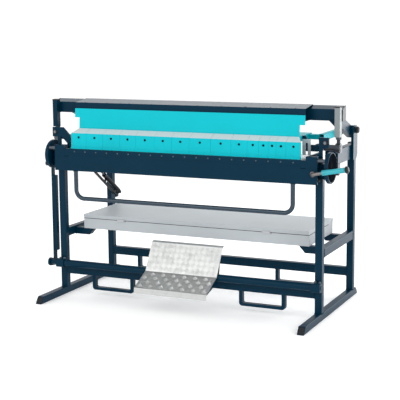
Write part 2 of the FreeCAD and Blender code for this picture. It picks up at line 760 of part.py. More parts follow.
def post_spacers():
    # Blocks that join the end plates to the posts and side beams,
    # blocks that join the cheeks to the posts, and the guide brackets
    front = block(
        (END_PLATE_OUTER, POST_INNER),
        (END_PLATE_FRONT, POST),
        (FRONT_POST_TOP - FRONT_SPACER_HEIGHT, FRONT_POST_TOP),
    )
    rear = block(
        (END_PLATE_OUTER, SIDE_BEAM_INNER),
        end_arm_depth(),
        (SIDE_BEAM_BOTTOM + REAR_SPACER_INSET, SIDE_BEAM_TOP - REAR_SPACER_INSET),
    )
    outer_height = (FRONT_POST_TOP - CHEEK_SPACER_HEIGHT, FRONT_POST_TOP)
    outer = block((POST_OUTER, CHEEK_INNER), (0, POST), outer_height)
    pieces = []
    for piece in (front, rear, outer, guide_bracket()):
        pieces.extend(both_sides(piece))
    return pieces


def guide_bracket():
    # Plate on the front post with a limb that slopes down to the bed's end plate
    plate_top = TABLE_HEIGHT + END_PLATE_RISE
    limb_low = plate_top + GUIDE_FOOT_HEIGHT
    head_low = GUIDE_TOP - GUIDE_HEAD_HEIGHT
    head_inner = POST_INNER + GUIDE_HEAD_INSET
    foot_inner = BED_HALF - GUIDE_FOOT_MARGIN
    foot_outer = END_PLATE_OUTER + GUIDE_FOOT_MARGIN
    outline = [
        (foot_inner, plate_top),
        (foot_inner, GUIDE_TOP - (head_inner - foot_inner)),
        (head_inner, GUIDE_TOP),
        (GUIDE_OUTER, GUIDE_TOP),
        (GUIDE_OUTER, head_low),
        (GUIDE_BAR_OUTER, head_low),
        (GUIDE_BAR_OUTER, FRONT_POST_TOP),
        (GUIDE_BAR_INNER, FRONT_POST_TOP),
        (GUIDE_BAR_INNER, head_low),
        (foot_outer + head_low - limb_low, head_low),
        (foot_outer, limb_low),
        (foot_outer, plate_top),
    ]
    return front_profile(outline, (0, GUIDE_THICKNESS))


def pivot_cheeks():
    # Round cheeks outside the front posts that hold the apron's pins
    centre = (AXIS_Y + CHEEK_BACK, AXIS_Z - CHEEK_DROP)
    disc = rod_x(CHEEK_RADIUS, (CHEEK_INNER, CHEEK_OUTER), *centre)
    disc = disc.makeChamfer(CHEEK_CHAMFER, [e for e in disc.Edges if e.Closed])
    bore = rod_x(APRON_PIN_RADIUS, (CHEEK_INNER - 1, CHEEK_OUTER + 1), AXIS_Y, AXIS_Z)
    return both_sides(disc.cut(bore))


def apron_pins():
    inner = HALF_LENGTH + HINGE_BLOCK_INNER + HINGE_BLOCK_WEB + 1
    pin = rod_x(APRON_PIN_RADIUS, (inner, CHEEK_OUTER), AXIS_Y, AXIS_Z)
    return both_sides(pin)


def stop_knob():
    # Knob on the left cheek that sets how far the apron swings
    centre = (AXIS_Y + KNOB_BACK, AXIS_Z - KNOB_DROP)
    head_start = CHEEK_OUTER + KNOB_STEM_LENGTH
    stem = rod_x(KNOB_STEM_RADIUS, (CHEEK_OUTER, head_start), *centre)
    head = rod_x(KNOB_RADIUS, (head_start, head_start + KNOB_LENGTH), *centre)
    head = head.makeChamfer(KNOB_CHAMFER, [e for e in head.Edges if e.Closed])
    return mirrored(stem.fuse(head))


def apron_buffers():
    # Rubber buffers on the posts that the hanging apron rests against
    centre = POST_INNER + POST / 2
    start = vector(centre, AXIS_Y + BUFFER_GAP, APRON_BOTTOM + POST / 2)
    return both_sides(rod(BUFFER_RADIUS, start, vector(centre, 0, start.z)))


def rocker_bearings():
    # Stubs under the side beams that carry the rocker shaft
    span = (SIDE_BEAM_INNER + BEARING_STUB_INSET, SIDE_BEAM_OUTER)
    half = POST / 2
    stub = block(span, (ROCKER_Y - half, ROCKER_Y + half), (ROCKER_Z, SIDE_BEAM_BOTTOM))
    stub = stub.fuse(rod_x(half, span, ROCKER_Y, ROCKER_Z)).removeSplitter()
    bore = rod_x(ROCKER_JOURNAL_RADIUS + RUNNING, (span[0] - 1, span[1] + 1), ROCKER_Y, ROCKER_Z)
    return both_sides(stub.cut(bore))


def pivot_brackets():
    # Upright plates on the side beams that hold the clamping beam's pins
    front = PIVOT_Y - BRACKET_FRONT
    rear = front + BRACKET_WIDTH
    bottom = SIDE_BEAM_BOTTOM - BRACKET_DROP
    top = PIVOT_Z + PIVOT_HUB_RADIUS
    low_run, low_rise = BRACKET_LOWER_CORNER
    high_run, high_rise = BRACKET_UPPER_CORNER
    outline = [
        (front, bottom),
        (rear - low_run, bottom),
        (rear, bottom + low_rise),
        (rear, top - high_rise),
        (rear - high_run, top),
        (front + high_run, top),
        (front, top - high_rise),
    ]
    plate = side_profile(outline, (SIDE_BEAM_OUTER, BRACKET_OUTER))
    bore = rod_x(PIVOT_PIN_RADIUS, (SIDE_BEAM_OUTER - 1, BRACKET_OUTER + 1), PIVOT_Y, PIVOT_Z)
    return both_sides(plate.cut(bore))


def clamp_pivot_pins():
    inner = LOWER_ARM_INNER - PIVOT_HEAD_GAP
    head_radius, head_length = PIVOT_PIN_HEAD
    pin = rod_x(PIVOT_PIN_RADIUS, (inner, BRACKET_OUTER), PIVOT_Y, PIVOT_Z)
    head = rod_x(head_radius, (inner - head_length, inner), PIVOT_Y, PIVOT_Z)
    return both_sides(pin.fuse(head))


def end_caps():
    # Plastic caps on the pivot pins and on the tops of the rear posts
    cap = rod_x(PIVOT_CAP_RADIUS, (BRACKET_OUTER, BRACKET_OUTER + PIVOT_CAP_LENGTH), PIVOT_Y, PIVOT_Z)
    rim = [e for e in cap.Edges if e.Closed and e.CenterOfMass.x > BRACKET_OUTER + 1]
    cap = cap.makeChamfer(PIVOT_CAP_CHAMFER, rim)
    cap_top = SIDE_BEAM_TOP + POST_CAP_HEIGHT
    top = block((POST_INNER, POST_OUTER), (REAR_POST_FRONT, STAND_DEPTH), (SIDE_BEAM_TOP, cap_top))
    upper = [e for e in top.Edges if e.CenterOfMass.z > cap_top - 1]
    top = top.makeChamfer(POST_CAP_CHAMFER, upper)
    return both_sides(cap) + both_sides(top)


def pedal_bearings():
    depth = (PEDAL_Y * 2, 0)
    width = (POST_INNER - BEARING_OVERLAP, POST_INNER - BEARING_OVERLAP + BEARING_WIDTH)
    height = (PEDAL_HEIGHT - BEARING_HEIGHT / 2, PEDAL_HEIGHT + BEARING_HEIGHT / 2)
    housing = block(width, depth, height)
    front = [e for e in edges_along(housing, vector(1, 0, 0)) if e.CenterOfMass.y < PEDAL_Y]
    housing = housing.makeFillet(BEARING_CORNER, front)
    bore = rod_x(PEDAL_AXLE_RADIUS + RUNNING, (width[0] - 1, width[1] + 1), PEDAL_Y, PEDAL_HEIGHT)
    return both_sides(housing.cut(bore))


def hexagon(centre, radius, axis, height):
    # Hexagon head or nut, standing on the given centre along the axis
    turn = FreeCAD.Rotation(vector(0, 0, 1), axis)
    corners = []
    for step in range(7):
        angle = math.radians(60 * step)
        local = vector(radius * math.cos(angle), radius * math.sin(angle), 0)
        corners.append(centre + turn.multVec(local))
    return Part.Face(Part.makePolygon(corners)).extrude(axis * height)


def bearing_bolts():
    # Bolts on the pedal's bearings, and one with a washer on each guide bracket
    pieces = []
    top = PEDAL_HEIGHT + BEARING_HEIGHT / 2
    for side in (-1, 1):
        centre = vector(POST_INNER + POST / 2 + side * BOLT_SPACING / 2, PEDAL_Y / 2, top)
        pieces.extend(both_sides(hexagon(centre, BOLT_RADIUS, vector(0, 0, 1), BOLT_HEAD)))
    forward = vector(0, -1, 0)
    seat = vector(GUIDE_OUTER - GUIDE_BOLT_INSET, 0, GUIDE_TOP - GUIDE_BOLT_DROP)
    washer = rod(GUIDE_WASHER_RADIUS, seat, seat + forward * GUIDE_WASHER)
    head = hexagon(seat + forward * GUIDE_WASHER, BOLT_RADIUS, forward, BOLT_HEAD)
    return pieces + both_sides(washer.fuse(head))


def strut_bracket():
    # Foot of the gas strut, on the inner face of the rear left post
    low, high = STRUT_PLATE_LIMITS
    plate = block(
        (POST_INNER - STRUT_PLATE, POST_INNER),
        (REAR_POST_FRONT - STRUT_PLATE_FRONT, STAND_DEPTH + STRUT_PLATE_REAR),
        (STRUT_FOOT_Z + low, STRUT_FOOT_Z + high),
    )
    boss = rod_x(STRUT_BOSS_RADIUS, (STRUT_OUTER, POST_INNER - STRUT_PLATE), STRUT_FOOT_Y, STRUT_FOOT_Z)
    pin = rod_x(STRUT_PIN_RADIUS, (STRUT_PIN_INNER, STRUT_OUTER), STRUT_FOOT_Y, STRUT_FOOT_Z)
    return mirrored(plate.fuse([boss, pin]))


# Clamping beam

def top_tube_outline():
    return [
        (DROP_BAR_REAR, TOP_BEAM_Z),
        (DROP_BAR_REAR, TOP_TUBE_SHOULDER),
        (TOP_TUBE_REAR, TOP_TUBE_TOP),
        (TOP_TUBE_REAR, TOP_BEAM_Z),
    ]


def top_tube():
    # Tube with a sloping top face, welded behind the drop bars
    slope = math.atan2(TOP_TUBE_RISE, TOP_TUBE_DEPTH)
    wall = TOP_TUBE_WALL
    run = wall * math.tan(slope)
    drop = wall / math.cos(slope)
    hollow = [
        (DROP_BAR_REAR + wall, TOP_BEAM_Z + wall),
        (DROP_BAR_REAR + wall, TOP_TUBE_SHOULDER + run - drop),
        (TOP_TUBE_REAR - wall, TOP_TUBE_TOP - run - drop),
        (TOP_TUBE_REAR - wall, TOP_BEAM_Z + wall),
    ]
    tube = side_profile(top_tube_outline(), (-DROP_BAR_OUTER, DROP_BAR_OUTER))
    seat = vector(0, DROP_BAR_REAR, TOP_BEAM_Z)
    rounded = [e for e in edges_along(tube, vector(1, 0, 0)) if e.CenterOfMass.distanceToPoint(seat) > 1]
    tube = tube.makeFillet(TUBE_CORNER, rounded)
    return tube.cut(side_profile(hollow, (-DROP_BAR_OUTER - 1, DROP_BAR_OUTER + 1)))


def top_cover():
    # Bent sheet in front of the tube and over it, open at both ends
    rear = TOP_TUBE_REAR - TUBE_CORNER
    seat = TOP_TUBE_SHOULDER + TOP_TUBE_RISE * (rear - DROP_BAR_REAR) / TOP_TUBE_DEPTH
    path = [
        (rear, seat + COVER_SHEET + COVER_SLACK),
        (COVER_FRONT, TOP_BEAM_Z + COVER_HEIGHT),
        (COVER_FRONT, TOP_BEAM_Z),
        (DROP_BAR_REAR, TOP_BEAM_Z),
    ]
    return side_profile(sheet_profile(path, COVER_SHEET), (-COVER_HALF, COVER_HALF))


def face_plate():
    # Leaning cover between the finger beam and the top beam, with two ears
    base = FINGER_BEAM_TOP
    top = TABLE_HEIGHT + FACE_PLATE_TOP
    outline = [
        (LEDGE_BACK_Y, base),
        (LEDGE_BACK_Y + FACE_PLATE_THICKNESS, base),
        (COVER_FRONT, top),
        (COVER_FRONT - FACE_PLATE_THICKNESS, top),
    ]
    plate = side_profile(outline, (-FINGER_BEAM_HALF - EAR_WIDTH, FINGER_BEAM_HALF + EAR_WIDTH))
    for side in (-1, 1):
        inner = side * FINGER_BEAM_HALF
        outer = side * (FINGER_BEAM_HALF + EAR_WIDTH + 1)
        plate = plate.cut(block((inner, outer), (0, COVER_FRONT + 1), (base - 1, top - EAR_HEIGHT)))
    return plate


def finger_beam():
    # Clamping bar behind the fingers, thinner along its rear edge
    rear = LEDGE_BACK_Y + FINGER_BEAM_DEPTH
    outline = [
        (LEDGE_BACK_Y, FINGER_BEAM_BOTTOM),
        (LEDGE_BACK_Y, FINGER_BEAM_TOP),
        (rear, FINGER_BEAM_TOP),
        (rear, FINGER_BEAM_TOP - FINGER_BEAM_REAR_EDGE),
        (rear - FINGER_BEAM_REAR_SLOPE, FINGER_BEAM_BOTTOM),
    ]
    return side_profile(outline, (-FINGER_BEAM_HALF, FINGER_BEAM_HALF))


def finger_outline():
    # From the tip up the leaning face, back along the ledge, down behind the
    # clamping bar and forward under the sole
    return [
        (FINGER_TIP_Y, FINGER_BOTTOM),
        (FINGER_TIP_Y + FINGER_NOSE, FINGER_BOTTOM + FINGER_NOSE),
        (FINGER_TOP_Y, FINGER_TOP),
        (LEDGE_BACK_Y, LEDGE_BACK_Z),
        (LEDGE_BACK_Y, FINGER_BEAM_BOTTOM),
        (FINGER_BACK_Y, FINGER_BEAM_BOTTOM),
        (FINGER_BACK_Y, FINGER_BOTTOM + FINGER_HEEL_RISE),
        (FINGER_TIP_Y + FINGER_SOLE, FINGER_BOTTOM),
    ]


def finger_spans():
    # Left and right edge of every finger; the widths fill the working length
    scale = WORKING_LENGTH / sum(FINGER_WIDTHS)
    spans = []
    left = -HALF_LENGTH
    for width in FINGER_WIDTHS:
        right = left + width * scale
        spans.append((left, right))
        left = right
    return spans


def finger_screw_seats():
    # Centre of each screw on the leaning front face
    run = FINGER_SCREW_DROP / (FINGER_TOP - FINGER_BOTTOM - FINGER_NOSE)
    face_y = FINGER_TOP_Y - run * (FINGER_TOP_Y - FINGER_TIP_Y - FINGER_NOSE)
    return [
        vector((left + right) / 2, face_y, FINGER_TOP - FINGER_SCREW_DROP) for left, right in finger_spans()
    ]


def taper_end(piece):
    # The outermost fingers narrow towards the clamping bar
    for side in (-1, 1):
        corner = [
            (side * HALF_LENGTH, FINGER_TOP_Y),
            (side * FINGER_BEAM_HALF, LEDGE_BACK_Y),
            (side * FINGER_BEAM_HALF, FINGER_BACK_Y + 1),
            (side * (HALF_LENGTH + 1), FINGER_BACK_Y + 1),
            (side * (HALF_LENGTH + 1), FINGER_TOP_Y),
        ]
        if max(side * piece.BoundBox.XMax, side * piece.BoundBox.XMin) > FINGER_BEAM_HALF:
            piece = piece.cut(plan_profile(corner, (FINGER_BOTTOM - 1, LEDGE_BACK_Z + 1)))
    return piece


def fingers():
    pieces = []
    for left, right in finger_spans():
        finger = side_profile(finger_outline(), (left + FINGER_SEAM / 2, right - FINGER_SEAM / 2))
        pieces.append(taper_end(finger))
    return pieces


def finger_screws():
    # Hexagon heads that stand on the leaning faces, square to them
    lean = vector(0, FINGER_LEAN - FINGER_NOSE, FINGER_TOP - FINGER_BOTTOM - FINGER_NOSE)
    outward = vector(0, -lean.z, lean.y) / lean.Length
    return [hexagon(seat, FINGER_SCREW_RADIUS, outward, FINGER_SCREW_HEAD) for seat in finger_screw_seats()]


def clamp_arms():
    # Sloping tubes from the top tube back to the pivot
    front_top = TOP_TUBE_TOP - CLAMP_ARM_DROP
    run = PIVOT_Y - TOP_TUBE_REAR
    slope = (front_top - PIVOT_Z - CLAMP_ARM_END_RISE) / run
    outline = [
        (TOP_TUBE_REAR, front_top),
        (PIVOT_Y, front_top - run * slope),
        (PIVOT_Y, front_top - run * slope - ARM_DEPTH),
        (TOP_TUBE_REAR, front_top - ARM_DEPTH),
    ]
    tube = side_profile(outline, (CLAMP_ARM_INNER, CLAMP_ARM_OUTER))
    hollow = [
        (TOP_TUBE_REAR - 1, front_top - TUBE_WALL + slope),
        (PIVOT_Y - TUBE_WALL, front_top - (run - TUBE_WALL) * slope - TUBE_WALL),
        (PIVOT_Y - TUBE_WALL, front_top - (run - TUBE_WALL) * slope - ARM_DEPTH + TUBE_WALL),
        (TOP_TUBE_REAR - 1, front_top - ARM_DEPTH + TUBE_WALL + slope),
    ]
    tube = tube.cut(side_profile(hollow, (CLAMP_ARM_INNER + TUBE_WALL, CLAMP_ARM_OUTER - TUBE_WALL)))
    hub_space = rod_x(PIVOT_HUB_RADIUS, (CLAMP_ARM_INNER - 1, CLAMP_ARM_OUTER + 1), PIVOT_Y, PIVOT_Z)
    return both_sides(tube.cut(hub_space))


def lower_arms():
    # Level tubes from the ends of the finger beam back to the pivot
    tube = square_tube(
        (LOWER_ARM_INNER, LOWER_ARM_OUTER),
        (LOWER_ARM_FRONT, PIVOT_Y),
        (LOWER_ARM_Z, LOWER_ARM_TOP),
        vector(0, 1, 0),
    )
    foot_bar = block(
        (FINGER_BEAM_HALF, LOWER_ARM_INNER + TUBE_WALL),
        (LOWER_ARM_FRONT, LOWER_ARM_FRONT + LOWER_ARM_FOOT),
        (FINGER_BEAM_BOTTOM, FINGER_BEAM_TOP - TUBE_CORNER),
    )
    hub_space = rod_x(PIVOT_HUB_RADIUS, (LOWER_ARM_INNER - 1, LOWER_ARM_OUTER + 1), PIVOT_Y, PIVOT_Z)
    return both_sides(tube.cut(hub_space).fuse(foot_bar))


def pivot_hubs():
    inner = LOWER_ARM_INNER - 1.0
    outer = CLAMP_ARM_OUTER + 2.0
    hub = rod_x(PIVOT_HUB_RADIUS, (inner, outer), PIVOT_Y, PIVOT_Z)
    bore = rod_x(PIVOT_PIN_RADIUS + RUNNING, (inner - 1, outer + 1), PIVOT_Y, PIVOT_Z)
    return both_sides(hub.cut(bore))


def drop_bars():
    # Short uprights on the front of the top tube's ends
    depth = (DROP_BAR_FRONT, DROP_BAR_REAR)
    outer = block((DROP_BAR_INNER, DROP_BAR_OUTER), depth, (DROP_BAR_Z, DROP_BAR_TOP))
    outer = outer.makeFillet(TUBE_CORNER, edges_along(outer, vector(0, 0, 1)))
    hollow = block(
        (DROP_BAR_INNER + TUBE_WALL, DROP_BAR_OUTER - TUBE_WALL),
        (DROP_BAR_FRONT + TUBE_WALL, DROP_BAR_REAR - TUBE_WALL),
        (DROP_BAR_Z + 2 * TUBE_WALL, DROP_BAR_TOP + 1),
    )
    return both_sides(outer.cut(hollow))


def drop_bar_caps():
    # Plastic caps on the drop bars and on the ends of the top tube
    cap_top = DROP_BAR_TOP + DROP_BAR_CAP
    depth = (DROP_BAR_FRONT, DROP_BAR_REAR)
    cap = block((DROP_BAR_INNER, DROP_BAR_OUTER), depth, (DROP_BAR_TOP, cap_top))
    upper = [e for e in cap.Edges if e.CenterOfMass.z > cap_top - 1]
    cap = cap.makeChamfer(DROP_BAR_CAP_CHAMFER, upper)
    tube_cap = side_profile(top_tube_outline(), (DROP_BAR_OUTER, DROP_BAR_OUTER + TOP_TUBE_CAP))
    return both_sides(cap) + both_sides(tube_cap)


def adjusting_screws():
    # Threaded rods with their eyes and nuts under the drop bars,
    # and the screws that set how low the beam can come
    up = vector(0, 0, 1)
    span = (DROP_BAR_X - ROD_EYE_WIDTH / 2, DROP_BAR_X + ROD_EYE_WIDTH / 2)
    centre = vector(DROP_BAR_X, CROSS_PIN_Y, CROSS_PIN_Z)
    rod_top = vector(DROP_BAR_X, CROSS_PIN_Y, DROP_BAR_Z)
    eye = rod_x(ROD_EYE_RADIUS, span, CROSS_PIN_Y, CROSS_PIN_Z)
    hole = rod_x(CROSS_PIN_RADIUS, (span[0] - 1, span[1] + 1), CROSS_PIN_Y, CROSS_PIN_Z)
    nut = hexagon(rod_top - up * ROD_NUT_HEIGHT, ROD_NUT_RADIUS, up, ROD_NUT_HEIGHT)
    drop_rod = eye.fuse([rod(THREAD_RADIUS, centre, rod_top), nut]).cut(hole)
    stop_x = LOWER_ARM_INNER + STOP_INSET
    stop_y = LOWER_ARM_FRONT + STOP_BACK
    foot_z = TABLE_HEIGHT + END_PLATE_RISE + STOP_GAP
    stop_top = vector(stop_x, stop_y, LOWER_ARM_Z)
    stop = rod(STOP_RADIUS, vector(stop_x, stop_y, foot_z), stop_top)
    lock = hexagon(stop_top - up * STOP_NUT_HEIGHT, STOP_NUT_RADIUS, up, STOP_NUT_HEIGHT)
    return both_sides(drop_rod) + both_sides(stop.fuse(lock))


def cross_pins():
    # Stepped pins: the links hang on the thin part, the drop rods on the thick
    step = LINK_OUTER + LINK_GAP
    thin = rod_x(CROSS_JOURNAL_RADIUS, (LOWER_ARM_INNER + SIDE_GAP, step), CROSS_PIN_Y, CROSS_PIN_Z)
    thick = rod_x(CROSS_PIN_RADIUS, (step, DROP_BAR_OUTER), CROSS_PIN_Y, CROSS_PIN_Z)
    return both_sides(thin.fuse(thick))


def end_links():
    # Brackets from the finger beam outward, each with a lug for the cross pin,
    # and gussets between the top tube and the drop bars
    top = TABLE_HEIGHT + END_LINK_TOP
    low = TABLE_HEIGHT + END_LINK_BOTTOM
    outline = [
        (FINGER_BEAM_HALF, low + END_LINK_SHOULDER),
        (FINGER_BEAM_HALF, FINGER_BEAM_TOP),
        (FINGER_BEAM_HALF + END_LINK_SHOULDER, FINGER_BEAM_TOP),
        (FINGER_BEAM_HALF + END_LINK_NECK, top),
        (LOWER_ARM_OUTER, top),
        (LOWER_ARM_OUTER, low),
        (FINGER_BEAM_HALF + END_LINK_SHOULDER, low),
    ]
    rear = END_LINK_FRONT + END_LINK_THICKNESS
    bracket = front_profile(outline, (END_LINK_FRONT, rear))
    lug = block(
        (LOWER_ARM_OUTER - LUG_HALF, LOWER_ARM_OUTER),
        (rear, CROSS_PIN_Y + LUG_HALF),
        (CROSS_PIN_Z - LUG_HALF, CROSS_PIN_Z + LUG_HALF),
    )
    bore = rod_x(CROSS_JOURNAL_RADIUS, (FINGER_BEAM_HALF, LINK_INNER), CROSS_PIN_Y, CROSS_PIN_Z)
    bracket = bracket.fuse(lug.cut(bore))
    gusset_outline = [
        (DROP_BAR_INNER, TOP_BEAM_Z),
        (DROP_BAR_INNER - GUSSET_SIZE, TOP_BEAM_Z),
        (DROP_BAR_INNER, TOP_BEAM_Z - GUSSET_SIZE),
    ]
    gusset_front = DROP_BAR_REAR - GUSSET_OVERLAP
    gusset = front_profile(gusset_outline, (gusset_front, gusset_front + GUSSET_THICKNESS))
    return both_sides(bracket) + both_sides(gusset)


# Linkage

def rocker_shaft():
    main = LINK_OUTER + SIDE_GAP
    shaft = rod_x(ROCKER_RADIUS, (-main, main), ROCKER_Y, ROCKER_Z)
    journal_span = (-SIDE_CRANK_OUTER, SIDE_BEAM_OUTER + SIDE_GAP)
    journals = rod_x(ROCKER_JOURNAL_RADIUS, journal_span, ROCKER_Y, ROCKER_Z)
    return shaft.fuse(journals)


def inner_crank():
    plate = lever_plate(
        ((ROCKER_Y, ROCKER_Z), (INNER_PIN_Y, INNER_PIN_Z)), INNER_CRANK_ENDS, (CRANK_INNER, CRANK_OUTER)
    )
    shaft_hole = rod_x(ROCKER_RADIUS, (CRANK_INNER - 1, CRANK_OUTER + 1), ROCKER_Y, ROCKER_Z)
    clip_span = (LINK_OUTER + CLIP_GAP, LINK_OUTER + CLIP_GAP + CLIP_THICKNESS)
    pin = rod_x(CRANK_PIN_RADIUS, (CRANK_OUTER, clip_span[0]), INNER_PIN_Y, INNER_PIN_Z)
    clip = rod_x(CRANK_PIN_RADIUS + CRANK_CLIP, clip_span, INNER_PIN_Y, INNER_PIN_Z)
    return plate.cut(shaft_hole).fuse([pin, clip])


def side_lever(ends, radii, shaft_radius):
    # Flat lever outside the cheek with the pin that carries the push rod
    span = (SIDE_CRANK_INNER, SIDE_CRANK_OUTER)
    shaft_hole = rod_x(shaft_radius, (span[0] - 1, span[1] + 1), *ends[0])
    pin = rod_x(OUTER_PIN_RADIUS, (SIDE_CRANK_OUTER, SIDE_CLIP[0]), *ends[1])
    clip = rod_x(OUTER_PIN_RADIUS + CLIP_THICKNESS, SIDE_CLIP, *ends[1])
    return mirrored(lever_plate(ends, radii, span).cut(shaft_hole).fuse([pin, clip]))


def strut_lug():
    span = (STRUT_OUTER, STRUT_OUTER + CRANK_THICKNESS)
    lug = lever_plate(((ROCKER_Y, ROCKER_Z), (STRUT_LUG_Y, STRUT_LUG_Z)), STRUT_LUG_ENDS, span)
    lug = lug.cut(rod_x(ROCKER_RADIUS, (span[0] - 1, span[1] + 1), ROCKER_Y, ROCKER_Z))
    pin = rod_x(STRUT_PIN_RADIUS, (STRUT_PIN_INNER, STRUT_OUTER), STRUT_LUG_Y, STRUT_LUG_Z)
    return mirrored(lug.fuse(pin))


def rocker_cranks():
    ends = ((ROCKER_Y, ROCKER_Z), (OUTER_PIN_Y, OUTER_PIN_Z))
    outer_crank = side_lever(ends, OUTER_CRANK_ENDS, ROCKER_JOURNAL_RADIUS)
    return both_sides(inner_crank()) + [outer_crank, strut_lug()]


def pull_links():
    # Bars that pull the clamping beam up and down
    ends = ((INNER_PIN_Y, INNER_PIN_Z), (CROSS_PIN_Y, CROSS_PIN_Z))
    half = LINK_WIDTH / 2
    bar = lever_plate(ends, (half, half), (LINK_INNER, LINK_OUTER))
    lower = rod_x(CRANK_PIN_RADIUS + RUNNING, (LINK_INNER - 1, LINK_OUTER + 1), *ends[0])
    upper = rod_x(CROSS_JOURNAL_RADIUS + LINK_SLACK, (LINK_INNER - 1, LINK_OUTER + 1), *ends[1])
    return both_sides(bar.cut([lower, upper]))


def push_rod():
    # Long bar on the left from the pedal's crank to the rocker's outer crank;
    # the lower hole is a short slot, because the two cranks swing different arcs
    ends = ((OUTER_PIN_Y, OUTER_PIN_Z), (PEDAL_PIN_Y, PEDAL_PIN_Z))
    half = PUSH_ROD_WIDTH / 2
    cut_span = (PUSH_ROD_INNER - 1, PUSH_ROD_OUTER + 1)
    bar = lever_plate(ends, (half, half + PUSH_ROD_FOOT_EXTRA), (PUSH_ROD_INNER, PUSH_ROD_OUTER))
    upper = rod_x(OUTER_PIN_RADIUS + RUNNING, cut_span, *ends[0])
    slot_radius = OUTER_PIN_RADIUS + SLOT_SLACK
    slot_height = (PEDAL_PIN_Z - slot_radius, PEDAL_PIN_Z + slot_radius)
    slot = block(cut_span, (PEDAL_PIN_Y, PEDAL_PIN_Y + PUSH_ROD_SLOT), slot_height)
    for shift in (0, PUSH_ROD_SLOT):
        slot = slot.fuse(rod_x(slot_radius, cut_span, PEDAL_PIN_Y + shift, PEDAL_PIN_Z))
    return mirrored(bar.cut([upper, slot]))


# Pedal

def pedal_path():
    # Rear surface of the tread plate from its top edge down to the lip,
    # as offsets back from and up from the shaft's centre
    return [(83.0, 161.0), (65.0, 155.0), (-22.0, 4.0), (-162.0, -61.0), (-165.0, -90.0)]


def rib_outline():
    # Rib under the tread, as offsets from the shaft's centre
    return [
        (-22.0, 4.0),
        (-141.0, -51.25),
        (-141.0, -66.0),
        (-17.0, -32.0),
        (3.0, -26.0),
        (25.0, 0.0),
        (34.0, 50.0),
        (39.07, 110.0),
    ]


def from_pedal_shaft(points):
    return [(y + PEDAL_Y, z + PEDAL_HEIGHT) for y, z in points]


def pedal_plate():
    outline = sheet_profile(from_pedal_shaft(pedal_path())[::-1], PEDAL_SHEET)
    return side_profile(outline, (-PEDAL_WIDTH / 2, PEDAL_WIDTH / 2))


def pedal_shaft():
    # Cross tube with solid stub axles, and two ribs under the tread
    tube_half = POST_INNER - PEDAL_TUBE_GAP
    hollow_half = tube_half - STUB_DEPTH
    tube = rod_x(PEDAL_SHAFT_RADIUS, (-tube_half, tube_half), PEDAL_Y, PEDAL_HEIGHT)
    bore = rod_x(PEDAL_SHAFT_RADIUS - PEDAL_SHAFT_WALL, (-hollow_half, hollow_half), PEDAL_Y, PEDAL_HEIGHT)
    axle_span = (-SIDE_CRANK_OUTER, POST_OUTER + PEDAL_AXLE_END)
    axles = rod_x(PEDAL_AXLE_RADIUS, axle_span, PEDAL_Y, PEDAL_HEIGHT)
    ribs = []
    for side in (-1, 1):
        centre = side * (PEDAL_WIDTH / 2 - PEDAL_RIB_INSET)
        span = (centre - PEDAL_RIB / 2, centre + PEDAL_RIB / 2)
        ribs.append(side_profile(from_pedal_shaft(rib_outline()), span))
    return tube.fuse([axles] + ribs).cut(bore)


def pedal_crank():
    ends = ((PEDAL_Y, PEDAL_HEIGHT), (PEDAL_PIN_Y, PEDAL_PIN_Z))
    return side_lever(ends, PEDAL_CRANK_ENDS, PEDAL_AXLE_RADIUS)


# Gas strut

def strut_frame():
    # Foot, lug and the unit direction between them
    foot_point = vector(STRUT_X, STRUT_FOOT_Y, STRUT_FOOT_Z)
    lug_point = vector(STRUT_X, STRUT_LUG_Y, STRUT_LUG_Z)
    run = lug_point - foot_point
    return foot_point, lug_point, run / run.Length


def strut_eye(point, slack):
    span = (STRUT_X - STRUT_EYE_WIDTH / 2, STRUT_X + STRUT_EYE_WIDTH / 2)
    eye = rod_x(STRUT_EYE_RADIUS, span, point.y, point.z)
    hole = rod_x(STRUT_PIN_RADIUS + slack, (span[0] - 1, span[1] + 1), point.y, point.z)
    return eye, hole


def strut_cylinder():
    start, end, along = strut_frame()
    mouth = end - along * STRUT_ROD_SHOW
    inside = start + along * (STRUT_NECK + STRUT_PISTON_LENGTH)
    eye, hole = strut_eye(start, RUNNING)
    body = rod(STRUT_RADIUS, start + along * STRUT_NECK, mouth)
    neck = rod(STRUT_ROD_RADIUS + STRUT_WALL, start, start + along * (STRUT_NECK + 1))
    hollow = rod(STRUT_RADIUS - STRUT_WALL, inside, mouth - along * STRUT_RADIUS)
    gland = rod(STRUT_ROD_RADIUS + RUNNING, inside, mouth + along)
    return mirrored(body.fuse([neck, eye]).cut([hole, hollow, gland]))


def strut_rod():
    start, end, along = strut_frame()
    eye, hole = strut_eye(end, STRUT_SLACK)
    piston_at = end - along * (STRUT_ROD_SHOW + STRUT_PISTON_DEPTH)
    shaft = rod(STRUT_ROD_RADIUS, piston_at, end)
    piston_radius = STRUT_RADIUS - STRUT_WALL - STRUT_PISTON_GAP
    piston = rod(piston_radius, piston_at - along * STRUT_PISTON_LENGTH, piston_at)
    return mirrored(shaft.fuse([eye, piston]).cut(hole))


# Apron

def apron_plate():
    outline = [
        (-APRON_HALF, APRON_BOTTOM),
        (-APRON_HALF, SHOULDER_TOP),
        (-BLADE_HALF, SHOULDER_TOP),
        (-BLADE_HALF, BLADE_BOTTOM),
        (BLADE_HALF, BLADE_BOTTOM),
        (BLADE_HALF, SHOULDER_TOP),
        (APRON_HALF, SHOULDER_TOP),
        (APRON_HALF, APRON_BOTTOM),
    ]
    return front_profile(outline, (APRON_FRONT, AXIS_Y))


def apron_blade():
    return block((-BLADE_HALF, BLADE_HALF), (APRON_FRONT, AXIS_Y), (BLADE_BOTTOM, TABLE_HEIGHT))


